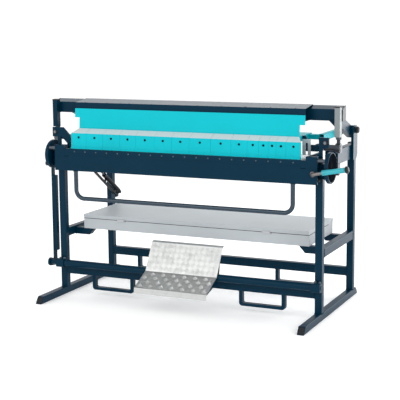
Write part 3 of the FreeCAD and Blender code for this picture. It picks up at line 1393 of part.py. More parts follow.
def blade_screws():
    # Hexagon heads along the front of the blade
    count = int(WORKING_LENGTH // BLADE_SCREW_PITCH)
    first = -(count - 1) * BLADE_SCREW_PITCH / 2
    pieces = []
    for index in range(count):
        seat = vector(first + index * BLADE_SCREW_PITCH, APRON_FRONT, TABLE_HEIGHT - BLADE_SCREW_DEPTH)
        pieces.append(hexagon(seat, BLADE_SCREW_RADIUS, vector(0, -1, 0), BLADE_SCREW_HEAD))
    return pieces


def hinge_blocks():
    # Blocks on the apron's shoulders that turn on the pins; the lower rear
    # corner is rounded about the axis so that the block clears the post
    span = (HALF_LENGTH + HINGE_BLOCK_INNER, HALF_LENGTH + HINGE_BLOCK_OUTER)
    height = (SHOULDER_TOP, AXIS_Z + HINGE_BLOCK_RISE)
    front_part = block(span, (APRON_FRONT, AXIS_Y), height)
    rear_part = block(span, (AXIS_Y, AXIS_Y + HINGE_BLOCK_BACK), height)
    rear_part = rear_part.common(rod_x(HINGE_BLOCK_SWEEP, span, AXIS_Y, AXIS_Z))
    bore = rod_x(APRON_PIN_RADIUS + RUNNING, (span[0] + HINGE_BLOCK_WEB, span[1] + 1), AXIS_Y, AXIS_Z)
    return both_sides(front_part.fuse(rear_part).cut(bore))


def hoop_handle():
    # Bent tube that hangs from the apron's lower edge
    y = (APRON_FRONT + AXIS_Y) / 2
    half = HALF_LENGTH - HOOP_INSET
    low = APRON_BOTTOM - HOOP_HANG
    corners = [
        vector(-half, y, APRON_BOTTOM),
        vector(-half, y, low),
        vector(half, y, low),
        vector(half, y, APRON_BOTTOM),
    ]
    return bent_bar(corners, HOOP_BEND, HOOP_RADIUS)


def bent_bar(corners, bend, radius):
    # Round bar along straight runs, with a bend of one radius at each corner
    pieces = []
    start = corners[0]
    for before, corner, after in zip(corners, corners[1:], corners[2:]):
        inward = (corner - before) / (corner - before).Length
        outward = (after - corner) / (after - corner).Length
        turn = inward.getAngle(outward)
        setback = bend * math.tan(turn / 2)
        axis = inward.cross(outward)
        arc_start = corner - inward * setback
        centre = arc_start + axis.cross(inward) / axis.Length * bend
        pieces.append(rod(radius, start, arc_start))
        disc = Part.Face(Part.Wire(Part.makeCircle(radius, arc_start, inward)))
        pieces.append(disc.revolve(centre, axis, math.degrees(turn)))
        start = corner + outward * setback
    pieces.append(rod(radius, start, corners[-1]))
    return pieces[0].fuse(pieces[1:]).removeSplitter()


def handle_line():
    # Corner and direction of the side handle's straight part
    corner = vector(POST_INNER + HANDLE_FROM_POST, APRON_FRONT - HANDLE_STAND_OFF, AXIS_Z - HANDLE_DROP)
    angle = math.radians(HANDLE_RISE_ANGLE)
    return corner, vector(math.cos(angle), 0, math.sin(angle))


def side_handle():
    # Bar that comes out of a boss on the apron and turns to the right
    corner, along = handle_line()
    root = vector(corner.x, APRON_FRONT, corner.z)
    tip = corner + along * (HANDLE_START + HANDLE_GRIP_LENGTH + HANDLE_CAP_LENGTH / 2)
    bar = bent_bar([root, corner, tip], HANDLE_BEND, HANDLE_ROD_RADIUS)
    return bar.fuse(rod(HANDLE_BOSS_RADIUS, root, root - vector(0, HANDLE_BOSS_LENGTH, 0)))


def handle_grip():
    corner, along = handle_line()
    start = corner + along * HANDLE_START
    end = start + along * HANDLE_GRIP_LENGTH
    sleeve = rod(HANDLE_GRIP_RADIUS, start, end)
    sleeve = sleeve.makeChamfer(HANDLE_GRIP_CHAMFER, [e for e in sleeve.Edges if e.Closed])
    return sleeve.cut(rod(HANDLE_ROD_RADIUS, start - along, end + along))


def handle_cap():
    corner, along = handle_line()
    start = corner + along * (HANDLE_START + HANDLE_GRIP_LENGTH)
    cap = rod(HANDLE_CAP_RADIUS, start, start + along * HANDLE_CAP_LENGTH)
    cap = cap.makeChamfer(HANDLE_CAP_CHAMFER, [e for e in cap.Edges if e.Closed])
    return cap.cut(rod(HANDLE_ROD_RADIUS, start - along, start + along * HANDLE_CAP_LENGTH / 2))


def build_nodes():
    return {
        "left_foot": [mirrored(foot())],
        "right_foot": [foot()],
        "left_front_post": [mirrored(front_post())],
        "right_front_post": [front_post()],
        "left_rear_post": [mirrored(rear_post())],
        "right_rear_post": [rear_post()],
        "mid_tubes": mid_tubes(),
        "front_rail": [rail(0)],
        "rear_rail": [rail(REAR_POST_FRONT)],
        "fork_pockets": fork_pockets(),
        "tray_arms": tray_arms(),
        "tray_box": [tray_box()],
        "tray_fittings": tray_fittings(),
        "tray_lid": [tray_lid()],
        "side_beams": side_beams(),
        "bed_table": [bed_table()],
        "bed_beam": [bed_beam()],
        "bed_end_plates": bed_end_plates(),
        "post_spacers": post_spacers(),
        "pivot_cheeks": pivot_cheeks(),
        "apron_pins": apron_pins(),
        "stop_knob": [stop_knob()],
        "apron_buffers": apron_buffers(),
        "rocker_bearings": rocker_bearings(),
        "pivot_brackets": pivot_brackets(),
        "clamp_pivot_pins": clamp_pivot_pins(),
        "end_caps": end_caps(),
        "pedal_bearings": pedal_bearings(),
        "bearing_bolts": bearing_bolts(),
        "strut_bracket": [strut_bracket()],
        "top_beam": [top_tube(), top_cover()],
        "face_plate": [face_plate()],
        "finger_beam": [finger_beam()],
        "fingers": fingers(),
        "finger_screws": finger_screws(),
        "clamp_arms": clamp_arms(),
        "lower_arms": lower_arms(),
        "pivot_hubs": pivot_hubs(),
        "drop_bars": drop_bars(),
        "drop_bar_caps": drop_bar_caps(),
        "adjusting_screws": adjusting_screws(),
        "cross_pins": cross_pins(),
        "end_links": end_links(),
        "rocker_shaft": [rocker_shaft()],
        "rocker_cranks": rocker_cranks(),
        "pull_links": pull_links(),
        "push_rod": [push_rod()],
        "pedal_shaft": [pedal_shaft()],
        "pedal_plate": [pedal_plate()],
        "pedal_crank": [pedal_crank()],
        "strut_cylinder": [strut_cylinder()],
        "strut_rod": [strut_rod()],
        "apron_plate": [apron_plate()],
        "apron_blade": [apron_blade()],
        "blade_screws": blade_screws(),
        "hinge_blocks": hinge_blocks(),
        "hoop_handle": [hoop_handle()],
        "side_handle": [side_handle()],
        "handle_grip": [handle_grip()],
        "handle_cap": [handle_cap()],
    }


def frame_shift(nodes):
    # From the modelling datum to the middle of the machine's box, on the floor
    whole = FreeCAD.BoundBox()
    for solids in nodes.values():
        for solid in solids:
            whole.add(solid.optimalBoundingBox(False, False))
    return vector(-(whole.XMin + whole.XMax) / 2, -(whole.YMin + whole.YMax) / 2, -whole.ZMin)


def main():
    os.makedirs("parts", exist_ok=True)
    nodes = build_nodes()
    shift = frame_shift(nodes)
    print("frame shift", round(shift.x, 3), round(shift.y, 3), round(shift.z, 3))
    for name, solids in nodes.items():
        moved = [solid.translated(shift) for solid in solids]
        shape = moved[0] if len(moved) == 1 else Part.makeCompound(moved)
        shape.exportStep(os.path.join("parts", name + ".step"))


main()
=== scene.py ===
import logging
import math
import random
from dataclasses import dataclass, field
from enum import Enum
from typing import Callable, Iterable, Sequence

import bmesh
import bpy
from mathutils import Matrix, Vector


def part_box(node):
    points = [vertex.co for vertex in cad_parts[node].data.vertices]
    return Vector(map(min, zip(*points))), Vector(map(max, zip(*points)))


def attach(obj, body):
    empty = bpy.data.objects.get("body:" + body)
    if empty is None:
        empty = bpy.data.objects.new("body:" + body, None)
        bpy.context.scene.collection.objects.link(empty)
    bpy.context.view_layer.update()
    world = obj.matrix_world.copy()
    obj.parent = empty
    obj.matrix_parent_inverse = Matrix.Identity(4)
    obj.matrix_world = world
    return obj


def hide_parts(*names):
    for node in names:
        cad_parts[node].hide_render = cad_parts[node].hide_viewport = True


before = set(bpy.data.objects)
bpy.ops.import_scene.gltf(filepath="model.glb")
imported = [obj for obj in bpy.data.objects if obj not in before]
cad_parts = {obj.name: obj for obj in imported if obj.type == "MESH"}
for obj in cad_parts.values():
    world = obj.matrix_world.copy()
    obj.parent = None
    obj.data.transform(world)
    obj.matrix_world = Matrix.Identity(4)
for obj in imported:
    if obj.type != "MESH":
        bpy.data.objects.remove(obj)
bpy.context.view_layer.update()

log = logging.getLogger("brake")
Colour = tuple[float, float, float]
Triple = tuple[float, float, float]
Outline = tuple[tuple[float, float], ...]
Profile = list[tuple[float, float]]
MM = 0.001
MERGE_DISTANCE = 2e-6
TOUCH_DISTANCE = 1e-6
FLAT_ANGLE = math.radians(0.6)
SHARP_ANGLE = 0.6
SMOOTH_ANGLE = math.radians(32)
FACE_WEIGHT = 80
ACROSS = Vector((1, 0, 0))
FRONT = Vector((0, -1, 0))
UP = Vector((0, 0, 1))
WHITE = (1.0, 1.0, 1.0)


class Axis(Enum):
    """A direction of the machine: along the bending line, into the depth, or up."""

    LENGTH = 0
    DEPTH = 1
    HEIGHT = 2


class Signal:
    """A number that runs through a shader, with the arithmetic that the finishes use."""

    def __init__(self, recipe: "Recipe", socket: bpy.types.NodeSocket) -> None:
        """Keep the socket and the recipe that owns its tree."""
        self.recipe = recipe
        self.socket = socket

    def _math(self, operation: str, first: object, second: object = 0.0) -> "Signal":
        """Add one Math node.

        Args:
            operation: the Math node's operation.
            first: signal or number on its first socket.
            second: signal or number on its second socket.

        Returns:
            The node's result.
        """
        made = self.recipe.node("ShaderNodeMath", {"operation": operation}, {0: first, 1: second})
        return Signal(self.recipe, made.outputs[0])

    def __add__(self, other: object) -> "Signal":
        """Sum of two values."""
        return self._math("ADD", self, other)

    def __radd__(self, other: object) -> "Signal":
        """Sum with a plain number on the left."""
        return self._math("ADD", other, self)

    def __sub__(self, other: object) -> "Signal":
        """Difference of two values."""
        return self._math("SUBTRACT", self, other)

    def __rsub__(self, other: object) -> "Signal":
        """Difference with a plain number on the left."""
        return self._math("SUBTRACT", other, self)

    def __mul__(self, other: object) -> "Signal":
        """Product of two values."""
        return self._math("MULTIPLY", self, other)

    def __rmul__(self, other: object) -> "Signal":
        """Product with a plain number on the left."""
        return self._math("MULTIPLY", other, self)

    def above(self, limit: float) -> "Signal":
        """One where the value is over the limit, zero elsewhere."""
        return self._math("GREATER_THAN", self, limit)


@dataclass(frozen=True)
class Pattern:
    """A cloudy pattern: cells to the metre, finer layers and their weight, and a stretch.

    With a span, only its patches are left: zero below the span and one above it.
    """

    scale: float
    detail: float = 3.0
    rough: float = 0.55
    stretch: Triple = (1.0, 1.0, 1.0)
    span: tuple[float, float] | None = None


@dataclass(frozen=True)
class Relief:
    """How strongly a pattern is pressed into a surface, and how deep in metres."""

    strength: float
    depth: float


class Recipe:
    """A node tree that is built backwards from the node that gives its result."""

    def __init__(self, owner: bpy.types.ID, last: str = "Principled BSDF") -> None:
        """Start with the tree of a new material or world.

        Args:
            owner: the material or world.
            last: name of the node that takes the result.
        """
        owner.use_nodes = True
        self.owner = owner
        self.tree = owner.node_tree
        self.last = self.tree.nodes[last]

    def node(
        self, kind: str, settings: dict | None = None, sockets: dict | None = None
    ) -> bpy.types.Node:
        """Add one node.

        Args:
            kind: type name of the node.
            settings: properties that are set first; "stops" fills a colour ramp.
            sockets: values or links of its inputs, by name or number.

        Returns:
            The new node.
        """
        made = self.tree.nodes.new(kind)
        for key, value in (settings or {}).items():
            if key == "stops":
                self._fill_ramp(made.color_ramp, value)
            else:
                setattr(made, key, value)
        for key, value in (sockets or {}).items():
            self._feed(made.inputs[key], value)
        return made

    def _fill_ramp(self, ramp: bpy.types.ColorRamp, stops: Outline) -> None:
        """Set a ramp's gray stops.

        Args:
            ramp: the ramp of a Color Ramp node.
            stops: pairs of place and gray level.
        """
        while len(ramp.elements) < len(stops):
            ramp.elements.new(1.0)
        for element, (place, level) in zip(ramp.elements, stops):
            element.position = place
            element.color = (level, level, level, 1.0)

    def _feed(self, target: bpy.types.NodeSocket, value: object) -> None:
        """Link or set one input.

        Args:
            target: the input socket.
            value: a signal, a socket, a colour or a number.
        """
        if isinstance(value, Signal):
            value = value.socket
        if isinstance(value, bpy.types.NodeSocket):
            self.tree.links.new(value, target)
        elif target.type == "RGBA":
            target.default_value = (*value, 1.0)
        else:
            target.default_value = value

    def place(self, stretch: Triple = (1.0, 1.0, 1.0)) -> bpy.types.NodeSocket:
        """Object coordinates, stretched along each axis."""
        sockets = {"Vector": self.node("ShaderNodeTexCoord").outputs["Object"], "Scale": stretch}
        return self.node("ShaderNodeMapping", None, sockets).outputs[0]

    def split(self, vector: bpy.types.NodeSocket, axis: Axis) -> Signal:
        """One part of a vector."""
        parts = self.node("ShaderNodeSeparateXYZ", None, {0: vector})
        return Signal(self, parts.outputs[axis.value])

    def noise(self, pattern: Pattern) -> Signal:
        """Lay a pattern over the surface.

        Args:
            pattern: the pattern, with or without a span.

        Returns:
            A value around one half, or from zero to one where the pattern has a span.
        """
        sockets = {
            "Vector": self.place(pattern.stretch),
            "Scale": pattern.scale,
            "Detail": pattern.detail,
            "Roughness": pattern.rough,
        }
        value = self.node("ShaderNodeTexNoise", None, sockets).outputs["Fac"]
        if pattern.span is None:
            return Signal(self, value)
        stops = tuple(zip(pattern.span, (0.0, 1.0)))
        ramp = self.node("ShaderNodeValToRGB", {"stops": stops}, {"Fac": value})
        return Signal(self, ramp.outputs["Color"])

    def cells(self, scale: float) -> Signal:
        """Flat patches of different brightness, like the crystals of a zinc coat.

        Args:
            scale: patches to the metre.

        Returns:
            A value that is the same all over a patch.
        """
        made = self.node("ShaderNodeTexVoronoi", None, {"Vector": self.place(), "Scale": scale})
        parts = self.node("ShaderNodeSeparateColor", None, {0: made.outputs["Color"]})
        return Signal(self, parts.outputs[0])

    def blend(self, factor: object, first: object, second: object) -> bpy.types.NodeSocket:
        """Mix two colours.

        Args:
            factor: signal or number, zero for the first colour.
            first: colour or socket.
            second: colour or socket.

        Returns:
            The mixed colour's socket.
        """
        sockets = {0: factor, 6: first, 7: second}
        return self.node("ShaderNodeMix", {"data_type": "RGBA"}, sockets).outputs[2]

    def bump(self, height: Signal, relief: Relief) -> None:
        """Press a height pattern into the surface.

        Args:
            height: the pattern.
            relief: its strength and depth.
        """
        sockets = {"Height": height, "Strength": relief.strength, "Distance": relief.depth}
        self.finish({"Normal": self.node("ShaderNodeBump", None, sockets).outputs[0]})

    def finish(self, sockets: dict) -> None:
        """Feed inputs of the last node."""
        for key, value in sockets.items():
            self._feed(self.last.inputs[key], value)


def scaled(colour: Colour, factor: float) -> Colour:
    """The same hue, darker or lighter."""
    return tuple(min(1.0, part * factor) for part in colour)


@dataclass(frozen=True)
class Finish:
    """A surface with its colour and the record's material slot that it stands for."""

    name: str
    slot: str
    colour: Colour

    def material(self) -> bpy.types.Material:
        """Make the finish's material.

        Returns:
            The finished material.
        """
        recipe = Recipe(bpy.data.materials.new(self.name))
        self.dress(recipe)
        return recipe.owner

    def dress(self, recipe: Recipe) -> None:
        """Build the finish in a material's tree; each kind of finish has its own way."""
        raise NotImplementedError(self.name)

    def varied(
        self, recipe: Recipe, pattern: Signal, shades: tuple[float, float]
    ) -> bpy.types.NodeSocket:
        """The finish's colour, darker and lighter with a pattern.

        Args:
            recipe: the material that takes it.
            pattern: zero for the darker shade, one for the lighter.
            shades: brightness of the darker and of the lighter shade.

        Returns:
            The colour's socket.
        """
        dark, light = (scaled(self.colour, shade) for shade in shades)
        return recipe.blend(pattern, dark, light)


@dataclass(frozen=True)
class PowderCoat(Finish):
    """Baked paint with a fine orange-peel skin, faint clouding and rubbed patches."""

    rubbed: Colour
    roughness: float
    specular: float
    clouding: Pattern = Pattern(2.4)
    shades: tuple[float, float] = (0.86, 1.14)
    rubbing: Pattern = Pattern(31.0, 7.0, 0.68, span=(0.6, 0.74))
    rubbed_share: float = 0.22
    peel: Pattern = Pattern(420.0, 2.0)
    skin: Relief = Relief(0.12, 0.12 * MM)
    rubbed_height: float = 0.2
    gloss: float = 0.04
    clouded_dullness: float = 0.1
    rubbed_dullness: float = 0.12

    def dress(self, recipe: Recipe) -> None:
        """Build the paint.

        Args:
            recipe: the material that takes it.
        """
        paint, clouds, rub = self.paint(recipe)
        recipe.finish({"Base Color": paint, "Roughness": self.dullness(clouds, rub)})
        recipe.finish({"Specular IOR Level": self.specular})
        recipe.bump(recipe.noise(self.peel) + rub * self.rubbed_height, self.skin)

    def paint(self, recipe: Recipe) -> tuple[bpy.types.NodeSocket, Signal, Signal]:
        """Colour of the paint.

        Args:
            recipe: the material that takes it.

        Returns:
            The colour's socket, the clouding and the rubbed patches.
        """
        clouds = recipe.noise(self.clouding)
        rub = recipe.noise(self.rubbing)
        coat = self.varied(recipe, clouds, self.shades)
        return recipe.blend(rub * self.rubbed_share, coat, self.rubbed), clouds, rub

    def dullness(self, clouds: Signal, rub: Signal) -> Signal:
        """Roughness of the paint, higher where it is clouded or rubbed."""
        dull = self.roughness - self.gloss + clouds * self.clouded_dullness
        return dull + rub * self.rubbed_dullness


@dataclass(frozen=True)
class LedgedPaint(PowderCoat):
    """Finger paint, with the ledge behind the leaning face ground to bare steel."""

    gloss: float = 0.0
    clouded_dullness: float = 0.06
    rubbed_dullness: float = 0.1
    ledge_colour: Colour = (0.74, 0.76, 0.765)
    ledge_shade: float = 0.8
    ledge_above: float = 0.93
    ledge_facing: float = 0.6
    ledge_metal: float = 0.25
    ledge_roughness: float = 0.3
    grinding: Pattern = Pattern(3.0, 5.0, 0.7, (150.0, 4.0, 4.0))
    ground_dullness: float = 0.2

    def dress(self, recipe: Recipe) -> None:
        """Build the paint and the bare ledge over it.

        Args:
            recipe: the material that takes it.
        """
        paint, clouds, rub = self.paint(recipe)
        coordinates = recipe.node("ShaderNodeTexCoord").outputs
        ledge = recipe.split(coordinates["Normal"], Axis.HEIGHT).above(self.ledge_facing)
        ledge = ledge * recipe.split(coordinates["Object"], Axis.HEIGHT).above(self.ledge_above)
        strokes = recipe.noise(self.grinding)
        ground = scaled(self.ledge_colour, self.ledge_shade)
        steel = recipe.blend(strokes, ground, self.ledge_colour)
        painted = self.dullness(clouds, rub)
        bare = self.ledge_roughness + strokes * self.ground_dullness
        recipe.finish({"Base Color": recipe.blend(ledge, paint, steel)})
        recipe.finish({"Metallic": ledge * self.ledge_metal})
        recipe.finish({"Roughness": painted * (1 - ledge) + ledge * bare})
        recipe.finish({"Specular IOR Level": self.specular})
        recipe.bump(recipe.noise(self.peel) * (1 - ledge) + strokes * ledge, self.skin)


@dataclass(frozen=True)
class GroundSteel(Finish):
    """Bare steel with grinding strokes along one direction, and stains."""

    grinding: Pattern = Pattern(1.6, 6.0, 0.7, (2.0, 260.0, 260.0))
    roughness: float = 0.27
    shades: tuple[float, float] = (0.82, 1.1)
    staining: Pattern = Pattern(9.0, 6.0, 0.65, span=(0.52, 0.75))
    stain_shade: float = 0.55
    stain_share: float = 0.3
    metal: float = 0.95
    ground_dullness: float = 0.16
    stained_dullness: float = 0.14
    skin: Relief = Relief(0.15, 0.05 * MM)

    def dress(self, recipe: Recipe) -> None:
        """Build the steel.

        Args:
            recipe: the material that takes it.
        """
        strokes = recipe.noise(self.grinding)
        stain = recipe.noise(self.staining)
        bright = self.varied(recipe, strokes, self.shades)
        stained = scaled(self.colour, self.stain_shade)
        steel = recipe.blend(stain * self.stain_share, bright, stained)
        dull = self.roughness + strokes * self.ground_dullness + stain * self.stained_dullness
        recipe.finish({"Base Color": steel, "Metallic": self.metal, "Roughness": dull})
        recipe.bump(strokes, self.skin)


@dataclass(frozen=True)
class ZincPlate(Finish):
    """Zinc plated steel with faint crystals and a bluish cast."""

    roughness: float = 0.3
    shades: tuple[float, float] = (0.85, 1.12)
    crystal_scale: float = 320.0
    crystal_contrast: float = 0.5
    crystal_height: float = 0.2
    hazing: Pattern = Pattern(26.0, 5.0)
    haze_colour: Colour = (0.42, 0.47, 0.55)
    haze_share: float = 0.35
    haze_dullness: float = 0.2
    metal: float = 0.9
    skin: Relief = Relief(0.1, 0.04 * MM)

    def dress(self, recipe: Recipe) -> None:
        """Build the plating.

        Args:
            recipe: the material that takes it.
        """
        crystals = recipe.cells(self.crystal_scale)
        haze = recipe.noise(self.hazing)
        plated = self.varied(recipe, crystals * self.crystal_contrast, self.shades)
        zinc = recipe.blend(haze * self.haze_share, plated, self.haze_colour)
        dull = self.roughness + haze * self.haze_dullness
        recipe.finish({"Base Color": zinc, "Metallic": self.metal, "Roughness": dull})
        recipe.bump(haze + crystals * self.crystal_height, self.skin)


@dataclass(frozen=True)
class RolledAluminium(Finish):
    """Bright rolled plate with scuffs from boots."""

    roughness: float = 0.24
    rolling: Pattern = Pattern(2.0, 5.0, 0.7, (1.5, 90.0, 90.0))
    shades: tuple[float, float] = (0.84, 1.0)
    scuffing: Pattern = Pattern(16.0, 8.0, 0.75, span=(0.5, 0.68))
    scuff_shade: float = 0.6
    scuff_share: float = 0.35
    scuff_height: float = 0.5
    rolled_dullness: float = 0.12
    scuffed_dullness: float = 0.2
    metal: float = 0.85
    skin: Relief = Relief(0.12, 0.06 * MM)

    def dress(self, recipe: Recipe) -> None:
        """Build the plate's surface.

        Args:
            recipe: the material that takes it.
        """
        rolling = recipe.noise(self.rolling)
        scuffs = recipe.noise(self.scuffing)
        bright = self.varied(recipe, rolling, self.shades)
        scuffed = scaled(self.colour, self.scuff_shade)
        plate = recipe.blend(scuffs * self.scuff_share, bright, scuffed)
        dull = self.roughness + rolling * self.rolled_dullness + scuffs * self.scuffed_dullness
        recipe.finish({"Base Color": plate, "Metallic": self.metal, "Roughness": dull})
        recipe.bump(rolling + scuffs * self.scuff_height, self.skin)


@dataclass(frozen=True)
class Moulded(Finish):
    """Moulded plastic or rubber with a fine grain and a little dust."""

    roughness: float
    specular: float = 0.3
    grain: Pattern = Pattern(800.0, 3.0, 0.6)
    grain_dullness: float = 0.05
    dusting: Pattern = Pattern(22.0, 6.0, 0.7, span=(0.5, 0.78))
    dust_colour: Colour = (0.07, 0.07, 0.075)
    dust_share: float = 0.2
    dust_dullness: float = 0.15
    skin: Relief = Relief(0.3, 0.1 * MM)

    def dress(self, recipe: Recipe) -> None:
        """Build the moulding's skin.

        Args:
            recipe: the material that takes it.
        """
        grain = recipe.noise(self.grain)
        dust = recipe.noise(self.dusting)
        dusty = recipe.blend(dust * self.dust_share, self.colour, self.dust_colour)
        dull = self.roughness + dust * self.dust_dullness + grain * self.grain_dullness
        recipe.finish({"Base Color": dusty, "Roughness": dull})
        recipe.finish({"Specular IOR Level": self.specular})
        recipe.bump(grain, self.skin)


PETROL, PALE_PETROL = (0.0, 0.0225, 0.046), (0.02, 0.055, 0.085)
SEA_GREEN, PALE_SEA_GREEN = (0.0, 0.455, 0.525), (0.05, 0.53, 0.585)
# light gray that paints the light and glare falling on the right drop bar, which has the same dark
# paint as the left one
LIT_BAR_TONE, PALE_LIT_BAR_TONE = (0.22, 0.245, 0.25), (0.3, 0.33, 0.34)
TRAY_TONE, PALE_TRAY_TONE = (0.45, 0.485, 0.51), (0.53, 0.56, 0.58)
FINE_STROKES = Pattern(1.6, 6.0, 0.7, (60.0, 60.0, 60.0))
RUBBER_GRAIN = Pattern(1100.0, 3.0, 0.6)

DARK = PowderCoat("dark_petrol_paint", "dark_paint", PETROL, PALE_PETROL, 0.3, 0.09)
HANDLE_PAINT = PowderCoat("dark_handle_paint", "dark_paint", PETROL, PALE_PETROL, 0.2, 0.6)
# lit copy of the bar paint: painted light for the right drop bar
LIT_BAR_GRAY = PowderCoat("bar_gray_painted_light", "dark_paint", LIT_BAR_TONE, PALE_LIT_BAR_TONE, 0.38, 0.25)
TURQUOISE = PowderCoat("turquoise_paint", "turquoise_paint", SEA_GREEN, PALE_SEA_GREEN, 0.42, 0.12)
FINGER_PAINT = LedgedPaint("finger_paint", "turquoise_paint", SEA_GREEN, PALE_SEA_GREEN, 0.42, 0.12)
TRAY_GRAY = PowderCoat("tray_paint", "tray_paint", TRAY_TONE, PALE_TRAY_TONE, 0.45, 0.3)
BED_STEEL = GroundSteel("ground_bed_steel", "bare_steel", (0.34, 0.35, 0.36))
# steel of the side handle, darkened and tinted reddish to paint in the dark reflection that the rod
# shows
DARK_REFLECTION_STEEL = GroundSteel(
    "handle_steel_painted_dark_reflection", "bare_steel", (0.2, 0.185, 0.185), FINE_STROKES, 0.26
)
ZINC = ZincPlate("zinc_plate", "zinc_steel", (0.5, 0.51, 0.52))
DULL_ZINC = ZincPlate("dulled_zinc", "zinc_steel", (0.13, 0.17, 0.2), 0.4)
DARK_ZINC = ZincPlate("dark_zinc", "zinc_steel", (0.03, 0.06, 0.075), 0.5)
OXIDE = ZincPlate("black_oxide", "zinc_steel", (0.03, 0.034, 0.038), 0.36)
TREAD = RolledAluminium("rolled_aluminium", "tread_aluminium", (0.6, 0.61, 0.6))
BLACK = Moulded("black_plastic", "black_plastic", (0.007, 0.009, 0.012), 0.4)
COVER_BLACK = Moulded("matt_cover_black", "black_plastic", (0.004, 0.006, 0.009), 0.6, 0.0)
STRUT_BLACK = Moulded("strut_black", "black_plastic", (0.003, 0.005, 0.008), 0.35, 0.1)
RUBBER = Moulded("black_rubber", "black_rubber", (0.016, 0.016, 0.016), 0.75, grain=RUBBER_GRAIN)
GRIP = Moulded("turquoise_grip", "turquoise_paint", (0.01, 0.36, 0.42), 0.2, 0.6)


@dataclass
class Box:
    """Lowest and highest corner of a piece, in metres."""

    low: Vector
    high: Vector

    @classmethod
    def spanning(cls, *spans: Sequence[float]) -> "Box":
        """Box that holds all the values given for each axis, in any order."""
        return cls(Vector(min(span) for span in spans), Vector(max(span) for span in spans))

    @property
    def centre(self) -> Vector:
        """Middle of the box."""
        return (self.low + self.high) / 2

    @property
    def size(self) -> Vector:
        """Extent along each axis."""
        return self.high - self.low


class Side(Enum):
    """An end of the machine, with its direction along the bending line."""

    LEFT = -1
    RIGHT = 1

    @classmethod
    def of(cls, box: Box) -> "Side":
        """The end that a box belongs to."""
        return cls.RIGHT if box.centre.x > 0 else cls.LEFT

    @property
    def outward(self) -> Vector:
        """Direction away from the middle of the machine."""
        return Vector((self.value, 0, 0))

    def outer(self, box: Box) -> float:
        """Where a box's outer face lies along the bending line."""
        return box.high.x if self is Side.RIGHT else box.low.x

    def inner(self, box: Box) -> float:
        """Where a box's inner face lies along the bending line."""
        return box.low.x if self is Side.RIGHT else box.high.x


def box_of(node: str) -> Box:
    """Box of a whole node of the frame."""
    return Box(*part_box(node))


def merged(node: str) -> bmesh.types.BMesh:
    """A copy of a node's mesh with its triangles joined.

    Args:
        node: name of the node.

    Returns:
        The copy, with flat areas as single faces.
    """
    form = bmesh.new()
    form.from_mesh(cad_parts[node].data)
    bmesh.ops.remove_doubles(form, verts=form.verts, dist=MERGE_DISTANCE)
    bmesh.ops.dissolve_limit(form, angle_limit=FLAT_ANGLE, verts=form.verts, edges=form.edges)
    return form


def islands(form: bmesh.types.BMesh) -> list[list[bmesh.types.BMVert]]:
    """Find the separate solids of a mesh.

    Args:
        form: the mesh.

    Returns:
        The vertices of each solid, from left to right.
    """
    found = []
    seen = set()
    for seed in form.verts:
        if seed in seen:
            continue
        seen.add(seed)
        group = [seed]
        for vert in group:
            for edge in vert.link_edges:
                other = edge.other_vert(vert)
                if other not in seen:
                    seen.add(other)
                    group.append(other)
        found.append(group)
    return sorted(found, key=lambda group: min(v.co.x for v in group))


def solids(node: str) -> list[Box]:
    """Boxes of a node's separate solids.

    Args:
        node: name of the node.

    Returns:
        One box for each solid, from left to right.
    """
    form = merged(node)
    found = [Box.spanning(*zip(*(v.co for v in group))) for group in islands(form)]
    form.free()
    return found


def frame_on(origin: Vector, along: Vector) -> Matrix:
    """Place whose own Z axis points along a direction.

    Args:
        origin: where the place lies.
        along: direction of its Z axis.

    Returns:
        The matrix of the place.
    """
    return Matrix.Translation(origin) @ along.to_track_quat("Z", "Y").to_matrix().to_4x4()


def lathe(profile: Profile, place: Matrix, steps: int = 32) -> bmesh.types.BMesh:
    """Turn an outline of radius and height about the place's Z axis.

    Args:
        profile: pairs of radius and height in metres, from the bottom up.
        place: where the axis stands.
        steps: number of faces round.

    Returns:
        The turned form, closed at its ends.
    """
    form = bmesh.new()
    verts = [form.verts.new((radius, 0.0, height)) for radius, height in profile]
    line = verts + [form.edges.new(pair) for pair in zip(verts, verts[1:])]
    bmesh.ops.spin(
        form, geom=line, axis=UP, cent=(0, 0, 0), angle=math.tau, steps=steps, use_merge=True
    )
    bmesh.ops.remove_doubles(form, verts=form.verts, dist=TOUCH_DISTANCE)
    bmesh.ops.holes_fill(form, edges=[e for e in form.edges if e.is_boundary])
    bmesh.ops.transform(form, matrix=place, verts=form.verts)
    return form


def in_mm(outline: Outline) -> Profile:
    """An outline that is written in millimetres, in metres."""
    return [(first * MM, second * MM) for first, second in outline]


def stretched(outline: Outline, radius: float, height: float) -> Profile:
    """An outline that is written in shares of a radius and a height, in metres."""
    return [(radius * share, height * rise) for share, rise in outline]


def crown(radius: float, foot: float, rise: float, steps: int, fullness: float) -> Profile:
    """Outline of a rounded crown, from just above its foot to its top on the axis.

    Args:
        radius: radius at the foot.
        foot: height of the foot.
        rise: height of the crown above its foot.
        steps: number of points.
        fullness: one for an ellipse, lower for squarer shoulders.

    Returns:
        Pairs of radius and height.
    """
    turns = [math.pi / 2 * step / steps for step in range(1, steps + 1)]
    return [(radius * math.cos(turn) ** fullness, foot + rise * math.sin(turn)) for turn in turns]


def slab(box: Box, rounding: float, segments: int = 2) -> bmesh.types.BMesh:
    """Block with rounded edges that fills a box.

    Args:
        box: the space it fills.
        rounding: size of the rounded edges.
        segments: faces across each rounded edge.

    Returns:
        The block.
    """
    form = bmesh.new()
    bmesh.ops.create_cube(form, size=1.0)
    bmesh.ops.scale(form, vec=box.size, verts=form.verts)
    bmesh.ops.translate(form, vec=box.centre, verts=form.verts)
    round_edges(form, form.edges, rounding, segments)
    return form


def prism(corners: Sequence[Vector], run: Vector) -> bmesh.types.BMesh:
    """Flat outline drawn out along a run.

    Args:
        corners: the outline, in order.
        run: direction and length of the draw.

    Returns:
        The closed form.
    """
    form = bmesh.new()
    form.faces.new([form.verts.new(corner) for corner in corners])
    bmesh.ops.translate(form, vec=run, verts=drawn_out(form))
    return form


